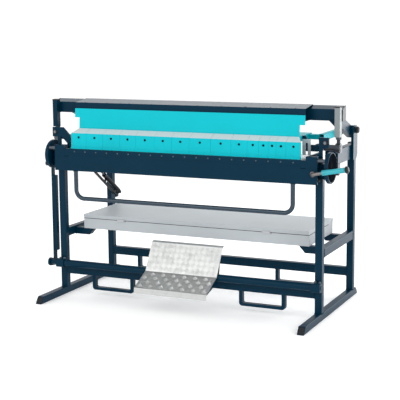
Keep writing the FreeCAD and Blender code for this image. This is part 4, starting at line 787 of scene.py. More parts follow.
def drawn_out(form: bmesh.types.BMesh) -> list[bmesh.types.BMVert]:
    """Extrude all faces of a flat form.

    Args:
        form: the flat form, which keeps its own faces as the bottom.

    Returns:
        The new vertices, still where the old ones are.
    """
    made = bmesh.ops.extrude_face_region(form, geom=form.faces[:], use_keep_orig=True)["geom"]
    return [part for part in made if isinstance(part, bmesh.types.BMVert)]


def round_edges(
    form: bmesh.types.BMesh, edges: Iterable[bmesh.types.BMEdge], size: float, segments: int = 2
) -> None:
    """Bevel edges.

    Args:
        form: the mesh.
        edges: the edges to round.
        size: width of the bevel.
        segments: faces across it.
    """
    bmesh.ops.bevel(
        form,
        geom=list(edges),
        offset=size,
        segments=segments,
        profile=0.5,
        affect="EDGES",
        material=-1,
        clamp_overlap=True,
    )


def sharp_edges(form: bmesh.types.BMesh) -> list[bmesh.types.BMEdge]:
    """Edges where two faces meet at more than SHARP_ANGLE."""
    shared = [edge for edge in form.edges if len(edge.link_faces) == 2]
    return [edge for edge in shared if edge.calc_face_angle(0.0) > SHARP_ANGLE]


def gather(parts: Iterable[bmesh.types.BMesh]) -> bmesh.types.BMesh:
    """Put several forms into one and free them.

    Args:
        parts: the forms.

    Returns:
        One form that holds them all.
    """
    whole = bmesh.new()
    for part in parts:
        flat = bpy.data.meshes.new("part")
        part.to_mesh(flat)
        part.free()
        whole.from_mesh(flat)
        bpy.data.meshes.remove(flat)
    return whole


def repeated(pattern: bmesh.types.BMesh, places: Iterable[Matrix]) -> bmesh.types.BMesh:
    """Copies of one small form at many places.

    Args:
        pattern: the small form, freed afterwards.
        places: a matrix for each copy.

    Returns:
        One form with every copy.
    """
    flat = bpy.data.meshes.new("pattern")
    pattern.to_mesh(flat)
    pattern.free()
    whole = bmesh.new()
    for place in places:
        start = len(whole.verts)
        whole.from_mesh(flat)
        whole.verts.ensure_lookup_table()
        bmesh.ops.transform(whole, matrix=place, verts=whole.verts[start:])
    bpy.data.meshes.remove(flat)
    return whole


class Workshop:
    """Turns forms into finished pieces and keeps one material for each finish."""

    def __init__(self) -> None:
        """Start with no materials made."""
        self.materials: dict[str, bpy.types.Material] = {}

    def material(self, finish: Finish) -> bpy.types.Material:
        """Look up the material of a finish, which is built once.

        Args:
            finish: the finish.

        Returns:
            Its material.
        """
        if finish.name not in self.materials:
            self.materials[finish.name] = finish.material()
        return self.materials[finish.name]

    def paint(self, finish: Finish, *nodes: str) -> None:
        """Give nodes of the frame a finish in place of their plain colour.

        Args:
            finish: the finish.
            nodes: names of the nodes.
        """
        for node in nodes:
            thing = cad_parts[node]
            thing.data.materials.clear()
            thing.data.materials.append(self.material(finish))
            log.info("painted %s with %s", node, finish.name)

    def add(
        self,
        name: str,
        form: bmesh.types.BMesh,
        body: str,
        finish: Finish,
        replaces: Sequence[str] = (),
    ) -> None:
        """Make a piece from a form.

        Args:
            name: name of the piece.
            form: its mesh, freed afterwards.
            body: body of the frame that it moves with.
            finish: its finish.
            replaces: nodes of the frame that it stands for.
        """
        bmesh.ops.remove_doubles(form, verts=form.verts, dist=MERGE_DISTANCE)
        bmesh.ops.recalc_face_normals(form, faces=form.faces)
        mesh = bpy.data.meshes.new(name)
        form.to_mesh(mesh)
        form.free()
        mesh.shade_smooth()
        mesh.set_sharp_from_angle(angle=SMOOTH_ANGLE)
        mesh.materials.append(self.material(finish))
        thing = bpy.data.objects.new(name, mesh)
        bpy.context.scene.collection.objects.link(thing)
        flat = thing.modifiers.new("flat_faces", "WEIGHTED_NORMAL")
        flat.keep_sharp = True
        flat.weight = FACE_WEIGHT
        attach(thing, body)
        if replaces:
            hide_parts(*replaces)
        log.info("made %s: %d faces on %s", name, len(mesh.polygons), body)

    def soften(self, node: str, body: str, finish: Finish, size: float, segments: int = 2) -> None:
        """Replace a node by a copy of itself with rounded edges.

        Args:
            node: name of the node.
            body: body of the frame that it moves with.
            finish: its finish.
            size: width of the rounded edges in metres.
            segments: faces across each rounded edge.
        """
        form = merged(node)
        round_edges(form, sharp_edges(form), size, segments)
        self.add(node + "_finished", form, body, finish, [node])


@dataclass
class WeldBead:
    """Small overlapping domes along the seam between two welded tubes."""

    radius: float = 2.6 * MM
    radius_spread: float = 0.12
    pitch: float = 2.9 * MM
    flat: float = 0.75
    wander: float = 0.35 * MM
    corner: float = 3.0 * MM
    dome_steps: tuple[int, int] = (8, 5)
    seed: int = 7
    places: list[Matrix] = field(default_factory=list)

    def line(self, start: Vector, end: Vector) -> None:
        """Lay domes from one point to another.

        Args:
            start: first dome.
            end: last dome.
        """
        chance = random.Random(self.seed + len(self.places))
        run = end - start
        count = max(2, round(run.length / self.pitch))
        for index in range(count + 1):
            drift = Vector(chance.uniform(-self.wander, self.wander) for _ in range(3))
            point = start + run * (index / count) + drift
            size = self.radius * chance.uniform(1 - self.radius_spread, 1 + self.radius_spread)
            shape = Matrix.Diagonal((size, size, size * self.flat, 1))
            self.places.append(frame_on(point, run) @ shape)

    def ring(self, box: Box, axis: Axis, at: float) -> None:
        """Lay four seams round a tube's end, each short of the rounded corners.

        Args:
            box: box of the tube.
            axis: direction of the tube.
            at: place of its end along that direction.
        """
        first, second = [i for i in range(3) if i != axis.value]
        for side, other in ((first, second), (second, first)):
            for edge in (box.low[side], box.high[side]):
                start = Vector((0, 0, 0))
                start[axis.value] = at
                start[side] = edge
                end = start.copy()
                start[other] = box.low[other] + self.corner
                end[other] = box.high[other] - self.corner
                self.line(start, end)

    def form(self) -> bmesh.types.BMesh:
        """All the domes in one mesh.

        Returns:
            The mesh.
        """
        dome = bmesh.new()
        around, up = self.dome_steps
        bmesh.ops.create_uvsphere(dome, u_segments=around, v_segments=up, radius=1.0)
        return repeated(dome, self.places)


@dataclass
class SocketScrew:
    """Button head with a hexagon socket; its outline is in shares of radius and height."""

    radius: float
    height: float
    socket: float
    socket_depth: float = 0.55
    steps: int = 20
    outline: Outline = ((1.0, 0.0), (1.0, 0.28), (0.93, 0.62), (0.78, 0.88), (0.62, 1.0))

    def form(self, place: Matrix) -> bmesh.types.BMesh:
        """The head on a place whose Z axis points out of the surface.

        Args:
            place: seat of the head.

        Returns:
            The head with its socket.
        """
        profile = stretched(self.outline, self.radius, self.height)
        head = lathe(profile, Matrix.Identity(4), self.steps)
        ends = [face for face in head.faces if len(face.verts) == self.steps]
        top = max(ends, key=lambda face: face.calc_center_median().z)
        bmesh.ops.inset_individual(head, faces=[top], thickness=profile[-1][0] - self.socket)
        bmesh.ops.translate(head, vec=(0, 0, -self.height * self.socket_depth), verts=top.verts)
        bmesh.ops.transform(head, matrix=place, verts=head.verts)
        return head


@dataclass
class Stand:
    """Feet, posts, tubes and rails, with their weld seams and end plugs."""

    shop: Workshop
    body: str = "base"
    tubes: tuple[str, ...] = (
        "left_foot",
        "right_foot",
        "left_front_post",
        "right_front_post",
        "left_rear_post",
        "right_rear_post",
        "mid_tubes",
        "front_rail",
        "rear_rail",
        "tray_arms",
    )
    plates: tuple[str, ...] = ("side_beams", "pivot_brackets", "bed_end_plates", "fork_pockets")
    tube_rounding: float = 0.5 * MM
    plate_rounding: float = 0.9 * MM
    tube: float = 40.0 * MM
    mitre: float = 30.0 * MM
    plug_depth: float = 3.0 * MM
    plug_inset: float = 3.2 * MM
    plug_rounding: float = 0.8 * MM
    bar_inset: float = 17.5 * MM
    bracket_rise: float = 50.0 * MM
    flat_cap: float = 10.0 * MM
    flat_cap_rounding: float = 1.4 * MM
    dome_foot: Outline = ((0.8, 0.0), (0.97, 1.5), (1.0, 4.0))
    dome_steps: int = 6
    dome_fullness: float = 0.6
    round_steps: int = 36
    cover_rise: float = 1.6 * MM
    cover_margin: float = 7.0 * MM
    cover_rim: Outline = (
        (0.0, 0.0), (0.5, 0.8), (2.0, 1.0), (12.0, 1.0), (14.0, 0.5), (17.0, 0.5), (19.0, 1.0)
    )
    cover_hub: Outline = ((14.0, 1.0), (12.0, 0.4), (0.0, 0.4))
    cover_steps: int = 64
    guide_height: float = 0.5
    washer: float = 3.0 * MM
    bolt_ring: Outline = (
        (9.4, 0.0), (14.2, 0.0), (14.2, 2.16), (13.0, 3.6), (10.2, 3.6), (9.4, 2.52), (9.4, 0.0)
    )

    def build(self) -> None:
        """Dress the tubes and add seams and plugs."""
        for node in self.tubes:
            self.shop.soften(node, self.body, DARK, self.tube_rounding, 1)
        for node in self.plates:
            self.shop.soften(node, self.body, DARK, self.plate_rounding)
        self.shop.add("post_spacers_finished", self.spacers(), self.body, DARK, ["post_spacers"])
        self.shop.paint(DARK, "pivot_cheeks", "rocker_bearings", "strut_bracket", "pedal_bearings")
        self.shop.add("moulded_end_caps", gather(self.caps()), self.body, BLACK, ["end_caps"])
        self.shop.add("guide_bolt_rings", gather(self.bolt_rings()), self.body, RUBBER)
        self.shop.add("cheek_covers", gather(self.cheek_covers()), self.body, COVER_BLACK)
        self.shop.paint(RUBBER, "apron_buffers")
        self.shop.paint(ZINC, "clamp_pivot_pins")
        self.shop.paint(DULL_ZINC, "bearing_bolts")
        self.shop.paint(OXIDE, "apron_pins")
        self.shop.add("stand_weld_seams", self.seams().form(), self.body, DARK)
        self.shop.add("foot_plugs", gather(self.plugs()), self.body, BLACK)

    def seams(self) -> WeldBead:
        """Lay the seams where the tubes of the stand meet.

        Returns:
            The bead with all its domes.
        """
        bead = WeldBead()
        for node in ("front_rail", "rear_rail"):
            rail = box_of(node)
            bead.ring(rail, Axis.LENGTH, rail.low.x)
            bead.ring(rail, Axis.LENGTH, rail.high.x)
        for tube in solids("mid_tubes"):
            bead.ring(tube, Axis.DEPTH, tube.low.y)
            bead.ring(tube, Axis.DEPTH, tube.high.y)
        for side in ("left", "right"):
            for place in ("front", "rear"):
                post = box_of(f"{side}_{place}_post")
                bead.ring(post, Axis.HEIGHT, post.low.z)
        for beam in solids("side_beams"):
            bead.ring(beam, Axis.DEPTH, beam.high.y)
        for arm in solids("tray_arms"):
            bead.ring(arm, Axis.LENGTH, Side.of(arm).outer(arm))
        for pocket in solids("fork_pockets"):
            for x in (pocket.low.x, pocket.high.x):
                front = Vector((x, pocket.low.y, pocket.high.z))
                bead.line(front, Vector((x, pocket.high.y, pocket.high.z)))
        return bead

    def caps(self) -> list[bmesh.types.BMesh]:
        """Domed caps over the pivot pins and flat caps on the rear posts.

        Returns:
            One form for each cap.
        """
        made = []
        for cap in solids("end_caps"):
            if cap.size.z < self.flat_cap:
                made.append(slab(cap, self.flat_cap_rounding, 3))
                continue
            side = Side.of(cap)
            radius, half = cap.size.z / 2, cap.size.x / 2
            profile = [*stretched(self.dome_foot, radius, MM), (radius, half)]
            profile += crown(radius, half, half, self.dome_steps, self.dome_fullness)
            seat = Vector((side.inner(cap), cap.centre.y, cap.centre.z))
            made.append(lathe(profile, frame_on(seat, side.outward), self.round_steps))
        return made

    def spacers(self) -> bmesh.types.BMesh:
        """Spacers and guide brackets; the right bracket ends straight over its post.

        Returns:
            The spacers with the right bracket cut.
        """
        form = merged("post_spacers")
        post = box_of("right_front_post")
        least = post.high.z + self.bracket_rise
        right = [group for group in islands(form) if group[0].co.x > 0]
        bracket = next(group for group in right if max(v.co.z for v in group) > least)
        edges = {e for v in bracket for e in v.link_edges}
        faces = {f for v in bracket for f in v.link_faces}
        cut = bmesh.ops.bisect_plane(
            form,
            geom=[*bracket, *edges, *faces],
            dist=TOUCH_DISTANCE,
            plane_co=(post.low.x + self.bar_inset, 0, 0),
            plane_no=ACROSS,
            clear_inner=True,
        )
        rim = [part for part in cut["geom_cut"] if isinstance(part, bmesh.types.BMEdge)]
        bmesh.ops.holes_fill(form, edges=rim, sides=0)
        round_edges(form, sharp_edges(form), self.plate_rounding)
        return form

    def cheek_covers(self) -> list[bmesh.types.BMesh]:
        """Thin pressed covers on the outer faces of the round cheeks.

        Returns:
            One form for each cover.
        """
        made = []
        for cheek in solids("pivot_cheeks"):
            side = Side.of(cheek)
            radius, rise = cheek.size.z / 2 - self.cover_margin, self.cover_rise
            profile = [(radius - back * MM, rise * share) for back, share in self.cover_rim]
            profile += stretched(self.cover_hub, MM, rise)
            seat = Vector((side.outer(cheek), cheek.centre.y, cheek.centre.z))
            made.append(lathe(profile, frame_on(seat, side.outward), self.cover_steps))
        return made

    def bolt_rings(self) -> list[bmesh.types.BMesh]:
        """Rubber rings on the washers of both guide bolts.

        Returns:
            One form for each ring.
        """
        guides = [bolt for bolt in solids("bearing_bolts") if bolt.low.z >= self.guide_height]
        made = []
        for bolt in guides:
            seat = Vector((bolt.centre.x, bolt.high.y - self.washer, bolt.centre.z))
            made.append(lathe(in_mm(self.bolt_ring), frame_on(seat, FRONT), self.round_steps))
        return made

    def plugs(self) -> list[bmesh.types.BMesh]:
        """Sloping plugs in the mitred ends of both feet.

        Returns:
            One form for each plug.
        """
        made = []
        inset = Vector.Fill(3, self.plug_inset)
        for node in ("left_foot", "right_foot"):
            foot = box_of(node)
            inner = Box(foot.low + inset, foot.high - inset)
            for y, way in ((foot.low.y, 1), (foot.high.y, -1)):
                slope = self.mitre / self.tube * way
                bottom = y + slope * self.plug_inset + self.plug_depth * way
                top = bottom + slope * inner.size.z
                corners = [
                    Vector((inner.low.x, bottom, inner.low.z)),
                    Vector((inner.high.x, bottom, inner.low.z)),
                    Vector((inner.high.x, top, inner.high.z)),
                    Vector((inner.low.x, top, inner.high.z)),
                ]
                form = prism(corners, Vector((0, self.plug_depth * 2 * way, 0)))
                round_edges(form, form.edges, self.plug_rounding)
                made.append(form)
        return made


@dataclass
class Tray:
    """Lidded tray for offcuts with its two catches and a dark strip under its lid that paints the
    shadow of the gap.
    """

    shop: Workshop
    body: str = "base"
    rounding: float = 1.4 * MM
    fitting_rounding: float = 0.5 * MM
    lever_rounding: float = 0.6 * MM
    plate: float = 1.6 * MM
    finger_pull: float = 9.0 * MM
    shadow_strip_gap: float = 0.3 * MM
    shadow_strip_proud: float = 1.4 * MM
    shadow_strip_height: float = 2.6 * MM
    shadow_strip_share: float = 0.8

    def build(self) -> None:
        """Dress the tray and its catches, and add the dark strip of painted shadow."""
        self.shop.soften("tray_box", self.body, TRAY_GRAY, self.rounding)
        self.shop.soften("tray_lid", "tray_lid", TRAY_GRAY, self.rounding * 0.5)
        self.shop.paint(ZINC, "tray_fittings")
        self.shop.add("tray_catches", gather(self.catches()), self.body, ZINC)
        # black strip of painted shadow in the gap under the lid and round the catches
        self.shop.add("tray_painted_shadow_strip", gather(self.painted_shadow_strip()), self.body, RUBBER)

    def catch_plates(self) -> list[Box]:
        """Plates of the catches, which are the fittings at the front."""
        front = box_of("tray_box").low.y
        return [plate for plate in solids("tray_fittings") if plate.low.y <= front]

    def painted_shadow_strip(self) -> list[bmesh.types.BMesh]:
        """Dark strip of painted shadow round the tray just under its lid, and round the catches, in
        the black rubber finish.

        Returns:
            One form for each run of the strip.
        """
        tray = box_of("tray_box")
        low, high = tray.low, tray.high
        top = box_of("tray_lid").low.z - self.shadow_strip_gap
        gap, proud = self.shadow_strip_gap, self.shadow_strip_proud
        rise = (top - self.shadow_strip_height, top)
        reach = low.y + tray.size.y * self.shadow_strip_share
        runs = [((low.x - proud, high.x + proud), (low.y - proud, low.y + gap), rise)]
        for side in (Side.LEFT, Side.RIGHT):
            face = side.outer(tray)
            walls = (face - gap * side.value, face + proud * side.value)
            runs.append((walls, (low.y, reach), rise))
        for plate in self.catch_plates():
            depth = (plate.low.y - gap * 2, low.y)
            right = plate.high.x + self.plate
            runs.append(((plate.low.x - self.plate, right), depth, rise))
            runs.append(((plate.high.x, right), depth, (plate.low.z - self.plate, top)))
        return [slab(Box.spanning(*run), gap) for run in runs]

    def catches(self) -> list[bmesh.types.BMesh]:
        """A folded lever, its lip and a keeper bar on each catch plate.

        Returns:
            Three forms for each catch.
        """
        made = []
        lid = box_of("tray_lid").low
        step = self.plate
        for plate in self.catch_plates():
            low, high, middle = plate.low, plate.high, plate.centre.x
            front = low.y - step * 2
            width = (low.x + step * 4, high.x - step * 4)
            lever = Box.spanning(width, (front, low.y), (low.z - step, high.z - step))
            made.append(slab(lever, self.lever_rounding))
            lip = Box.spanning(width, (front - step, front), (low.z - step * 2, low.z))
            made.append(slab(lip, self.fitting_rounding))
            pull = (middle - self.finger_pull, middle + self.finger_pull)
            keeper = Box.spanning(pull, (lid.y - step, lid.y), (high.z - step, lid.z + step * 3))
            made.append(slab(keeper, self.fitting_rounding))
        return made


@dataclass
class Bed:
    """Bed table and the beam under it."""

    shop: Workshop
    body: str = "base"
    table_rounding: float = 0.8 * MM
    beam_rounding: float = 0.6 * MM

    def build(self) -> None:
        """Dress the bed."""
        self.shop.soften("bed_table", self.body, BED_STEEL, self.table_rounding)
        self.shop.soften("bed_beam", self.body, DARK, self.beam_rounding, 1)


@dataclass
class ClampingBeam:
    """Top tube, cover plate, finger beam, fingers and the screws that adjust them."""

    shop: Workshop
    body: str = "clamp_beam"
    finger_rounding: float = 0.7 * MM
    plate_rounding: float = 0.8 * MM
    beam_rounding: float = 1.0 * MM
    tube_rounding: float = 0.6 * MM
    bar_rounding: float = 0.5 * MM
    screw: SocketScrew = field(default_factory=lambda: SocketScrew(6.2 * MM, 4.2 * MM, 3.1 * MM))
    rivet: Outline = ((4.6, -0.6), (4.6, 0.2), (3.8, 1.3), (2.2, 1.8), (0.0, 1.9))
    rivet_steps: int = 16
    rivet_count: int = 10
    rivet_margin: float = 60.0 * MM
    rivet_back: float = 9.0 * MM
    cover_slope: float = 0.121
    cover_lip: float = 4.0 * MM
    cover_fold: float = 2.0 * MM
    hook_width: tuple[float, float] = (2.0 * MM, 49.0 * MM)
    hook_slot: tuple[float, float] = (21.0 * MM, 33.0 * MM)
    hook_bridge: float = 20.0 * MM
    hook_drop: float = 20.0 * MM
    hook_top: float = 18.0 * MM
    hook_plate: float = 6.0 * MM
    hook_rounding: float = 1.2 * MM
    link_height: float = 1.0
    thread_pitch: float = 2.5 * MM
    thread_depth: float = 0.9 * MM
    thread_radius: float = 9.2 * MM
    thread_root: float = 0.4 * MM
    thread_fill: float = 0.42
    thread_crest: float = 0.15
    thread_foot: float = 51.0 * MM
    thread_head: float = 15.0 * MM
    thread_steps: int = 20
    rod_least: float = 80.0 * MM
    seam_height: float = 61.0 * MM

    def build(self) -> None:
        """Dress the beam and add its screws, threads and seams."""
        self.shop.soften("fingers", self.body, FINGER_PAINT, self.finger_rounding)
        self.shop.soften("face_plate", self.body, TURQUOISE, self.plate_rounding)
        self.shop.soften("finger_beam", self.body, TURQUOISE, self.beam_rounding)
        self.shop.paint(TURQUOISE, "lower_arms")
        self.shop.soften("top_beam", self.body, DARK, self.tube_rounding, 1)
        self.shop.add("end_links_finished", self.links(), self.body, DARK, ["end_links"])
        self.drop_bars()
        self.shop.add("cover_rivets", gather(self.rivets()), self.body, OXIDE)
        self.shop.add("end_hooks", gather(self.hooks()), self.body, TRAY_GRAY)
        self.shop.paint(DARK, "clamp_arms", "pivot_hubs")
        self.shop.paint(BLACK, "drop_bar_caps")
        self.shop.paint(OXIDE, "adjusting_screws", "cross_pins")
        screws = gather(self.screws())
        self.shop.add("finger_socket_screws", screws, self.body, COVER_BLACK, ["finger_screws"])
        self.shop.add("drop_rod_threads", gather(self.threads()), self.body, OXIDE)
        self.shop.add("beam_weld_seams", self.seams().form(), self.body, DARK)

    def links(self) -> bmesh.types.BMesh:
        """End links, with a gusset at the right end only.

        Returns:
            The links without the leftmost solid.
        """
        form = merged("end_links")
        bmesh.ops.delete(form, geom=islands(form)[0], context="VERTS")
        round_edges(form, sharp_edges(form), self.plate_rounding)
        return form

    def drop_bars(self) -> None:
        """Make the left bar in the dark paint and the right bar in a lighter gray that paints the
        light and glare falling on it.
        """
        kinds = ((Side.LEFT, DARK, ["drop_bars"]), (Side.RIGHT, LIT_BAR_GRAY, ()))
        for side, finish, stands_for in kinds:
            form = merged("drop_bars")
            other = [v for v in form.verts if v.co.x * side.value < 0]
            bmesh.ops.delete(form, geom=other, context="VERTS")
            round_edges(form, sharp_edges(form), self.bar_rounding, 1)
            self.shop.add(f"{side.name.lower()}_drop_bar", form, self.body, finish, stands_for)

    def rivets(self) -> list[bmesh.types.BMesh]:
        """Row of flat rivets behind the front edge of the cover.

        Returns:
            One form for each rivet.
        """
        form = merged("top_beam")
        front = box_of("top_beam").low.y
        edge = max(v.co.z for v in form.verts if v.co.y < front + self.cover_lip)
        form.free()
        plate = box_of("face_plate")
        half = plate.size.x / 2 - self.rivet_margin
        rise = (self.rivet_back - self.cover_fold) * self.cover_slope
        lift = Vector((0, -self.cover_slope, 1)).normalized()
        made = []
        for index in range(self.rivet_count):
            x = plate.centre.x - half + 2 * half * index / (self.rivet_count - 1)
            seat = Vector((x, front + self.rivet_back, edge + rise))
            made.append(lathe(in_mm(self.rivet), frame_on(seat, lift), self.rivet_steps))
        return made

    def hooks(self) -> list[bmesh.types.BMesh]:
        """Forked plates on the front of both end links, each cut from one flat bar.

        Returns:
            One form for each plate.
        """
        made = []
        for link in [link for link in solids("end_links") if link.low.z <= self.link_height]:
            side = Side.of(link)
            bottom, top = link.low.z - self.hook_drop, link.high.z - self.hook_top
            bridge = top - self.hook_bridge
            (near, far), (slot, end) = self.hook_width, self.hook_slot
            outline = [(near, bottom), (near, top), (far, top), (far, bottom)]
            outline += [(end, bottom), (end, bridge), (slot, bridge), (slot, bottom)]
            start = side.inner(link)
            corners = [Vector((start + x * side.value, link.low.y, z)) for x, z in outline]
            form = prism(corners, FRONT * self.hook_plate)
            round_edges(form, form.edges, self.hook_rounding)
            made.append(form)
        return made

    def screws(self) -> list[bmesh.types.BMesh]:
        """A socket screw where each plain head of the frame lies.

        Returns:
            One form for each screw.
        """
        made = []
        form = merged("finger_screws")
        for group in islands(form):
            centre = sum((v.co for v in group), Vector()) / len(group)
            faces = {f for v in group for f in v.link_faces}
            front = max(faces, key=lambda f: -f.normal.y * f.calc_area())
            half = min(abs((v.co - centre).dot(front.normal)) for v in group)
            place = frame_on(centre - front.normal * half, front.normal.copy())
            made.append(self.screw.form(place))
        form.free()
        return made

    def threads(self) -> list[bmesh.types.BMesh]:
        """Helical threads round the rods under the drop bars.

        Returns:
            One form for each end of the beam.
        """
        bars = solids("drop_bars")
        rods = [rod for rod in solids("adjusting_screws") if rod.size.z > self.rod_least]
        made = []
        for bar, rod in zip((bars[0], bars[-1]), (rods[0], rods[-1])):
            axis = Vector((rod.centre.x, rod.centre.y, 0))
            bottom, top = rod.low.z + self.thread_foot, bar.low.z - self.thread_head
            made.append(self.helix(axis, bottom, top))
        return made

    def helix(self, axis: Vector, bottom: float, top: float) -> bmesh.types.BMesh:
        """One thread as a wedge that winds up a rod.

        Args:
            axis: a point on the rod's axis.
            bottom: height of the thread's start.
            top: height of its end.

        Returns:
            The wound form.
        """
        turns = int((top - bottom) / self.thread_pitch)
        inner = self.thread_radius - self.thread_root
        outer = self.thread_radius + self.thread_depth
        half = self.thread_pitch * self.thread_fill
        crest = half * self.thread_crest
        points = [(inner, -half), (outer, -crest), (outer, crest), (inner, half)]
        form = bmesh.new()
        verts = [form.verts.new((axis.x + r, axis.y, bottom + half + z)) for r, z in points]
        bmesh.ops.spin(
            form,
            geom=[form.faces.new(verts)],
            axis=UP,
            cent=axis,
            dvec=UP * self.thread_pitch / self.thread_steps,
            angle=math.tau * turns,
            steps=self.thread_steps * turns,
        )
        log.debug("thread of %d turns", turns)
        return form

    def seams(self) -> WeldBead:
        """Lay the seams where the drop bars meet the top tube.

        Returns:
            The bead with all its domes.
        """
        bead = WeldBead()
        bottom = box_of("top_beam").low.z
        for bar in solids("drop_bars"):
            for x in (bar.low.x, bar.high.x):
                foot = Vector((x, bar.high.y, bottom))
                bead.line(foot, foot + UP * self.seam_height)
        return bead


@dataclass
class Apron:
    """Folding apron with its blade, hoop handle and side handle."""

    shop: Workshop
    body: str = "apron"
    plate_rounding: float = 1.0 * MM
    blade_rounding: float = 0.8 * MM
    screw: SocketScrew = field(
        default_factory=lambda: SocketScrew(4.4 * MM, 1.4 * MM, 2.0 * MM, steps=16)
    )
    block_drop: float = 12.0 * MM
    block_front: float = 0.4 * MM
    block_back: float = 0.5 * MM
    seam_steps: int = 24
    seam_side: float = 0.5
    seam_dip: float = 1.0 * MM
    seam_height: float = 1.5 * MM
    grip_waist: float = 0.93
    grip_share: float = 0.88
    grip_end: Outline = ((0.6, 0.0), (0.86, 0.0), (1.0, 2.5))
    grip_ring: Outline = ((1.0, 0.0), (0.93, 1.0), (1.0, 2.0))
    grip_rings: int = 5
    grip_ring_pitch: float = 5.0 * MM
    grip_start: float = 13.0 * MM
    grip_overrun: float = 14.0 * MM
    grip_end_facing: float = 0.9
    grip_end_level: float = 1e-3
    waist_steps: int = 10
    round_steps: int = 36
    cap_rim: Outline = (
        (0.5, 0.0),
        (0.84, 0.0),
        (0.97, 1.6),
        (1.0, 4.0),
        (1.0, 7.0),
        (0.94, 8.0),
        (1.0, 9.0),
    )
    cap_height: float = 17.0 * MM
    cap_crown: float = 9.0 * MM
    cap_steps: int = 7
    cap_fullness: float = 0.7

    def build(self) -> None:
        """Dress the apron and its handles."""
        self.shop.soften("apron_plate", self.body, DARK, self.plate_rounding)
        self.shop.soften("apron_blade", self.body, DARK, self.blade_rounding)
        self.shop.soften("hinge_blocks", self.body, DARK, self.blade_rounding)
        self.shop.add("blade_end_blocks", gather(self.blade_ends()), self.body, DARK)
        self.shop.paint(HANDLE_PAINT, "hoop_handle")
        # side handle steel with a painted dark reflection in its colour
        self.shop.paint(DARK_REFLECTION_STEEL, "side_handle")
        screws = gather(self.screws())
        self.shop.add("blade_socket_screws", screws, self.body, DARK_ZINC, ["blade_screws"])
        self.shop.add("hoop_weld_seams", self.seams().form(), self.body, DARK)
        self.shop.add("ribbed_grip", self.grip(), self.body, GRIP, ["handle_grip"])
        self.shop.add("rounded_cap", self.cap(), self.body, BLACK, ["handle_cap"])

    def screws(self) -> list[bmesh.types.BMesh]:
        """A flat socket screw at each plain head on the blade.

        Returns:
            One form for each screw.
        """
        seats = [Vector((s.centre.x, s.high.y, s.centre.z)) for s in solids("blade_screws")]
        return [self.screw.form(frame_on(seat, FRONT)) for seat in seats]

    def seams(self) -> WeldBead:
        """Lay the seams round the hoop's ends under the apron.

        Returns:
            The bead with all its domes.
        """
        bead = WeldBead()
        hoop = box_of("hoop_handle")
        radius = hoop.size.y / 2
        narrow = min(radius, box_of("apron_plate").size.y / 2)
        for way, x in ((1, hoop.low.x + radius), (-1, hoop.high.x - radius)):
            centre = Vector((x, hoop.centre.y, hoop.high.z))
            for step in range(self.seam_steps):
                angle = math.tau * step / self.seam_steps
                reach = radius if abs(math.sin(angle)) < self.seam_side else narrow
                across, deep = radius * math.cos(angle) * way, reach * math.sin(angle)
                point = centre + Vector((across, deep, -self.seam_dip))
                bead.line(point, point + UP * self.seam_height)
        return bead

    def blade_ends(self) -> list[bmesh.types.BMesh]:
        """Blocks between the ends of the blade and the hinge blocks.

        Returns:
            One form for each block.
        """
        blade = box_of("apron_blade")
        low, high = blade.low, blade.high
        left, right = solids("hinge_blocks")
        depth = (low.y + self.block_front, high.y - self.block_back)
        rise = (low.z - self.block_drop, high.z - self.block_back)
        widths = ((left.high.x, low.x), (high.x, right.low.x))
        return [slab(Box.spanning(width, depth, rise), self.blade_rounding) for width in widths]

    def axis(self) -> tuple[Vector, Vector, float]:
        """Line of the side handle's grip.

        Returns:
            Start, direction and length of the grip.
        """
        form = merged("handle_grip")
        level = [f for f in form.faces if abs(f.normal.y) < self.grip_end_level]
        caps = [f for f in level if abs(f.normal.x) > self.grip_end_facing]
        ends = sorted((f.calc_center_bounds() for f in caps), key=lambda end: end.x)
        form.free()
        run = ends[-1] - ends[0]
        along = run.normalized()
        length = run.length - self.grip_start + self.grip_overrun
        return ends[0] + along * self.grip_start, along, length

    def grip(self) -> bmesh.types.BMesh:
        """Sleeve with a waist, and with rings near its ends.

        Returns:
            The grip.
        """
        start, along, length = self.axis()
        pitch = self.grip_ring_pitch
        radius = box_of("handle_grip").size.y / 2 * self.grip_share
        profile = stretched(self.grip_end, radius, MM)
        for ring in range(self.grip_rings):
            base = pitch + ring * pitch
            profile += [(radius * share, base + rise * MM) for share, rise in self.grip_ring]
        end = profile.copy()
        first = pitch + self.grip_rings * pitch
        last = length - first
        for step in range(1, self.waist_steps):
            share = step / self.waist_steps
            waist = 1 - (1 - self.grip_waist) * math.sin(math.pi * share)
            profile.append((radius * waist, first + (last - first) * share))
        profile += [(reach, length - height) for reach, height in reversed(end)]
        return lathe(profile, frame_on(start, along), self.round_steps)

    def cap(self) -> bmesh.types.BMesh:
        """Rounded end cap with a groove behind its crown.

        Returns:
            The cap.
        """
        start, along, length = self.axis()
        radius = box_of("handle_cap").size.y / 2
        profile = stretched(self.cap_rim, radius, MM)
        foot = self.cap_height - self.cap_crown
        profile += crown(radius, foot, self.cap_crown, self.cap_steps, self.cap_fullness)
        return lathe(profile, frame_on(start + along * length, along), self.round_steps)


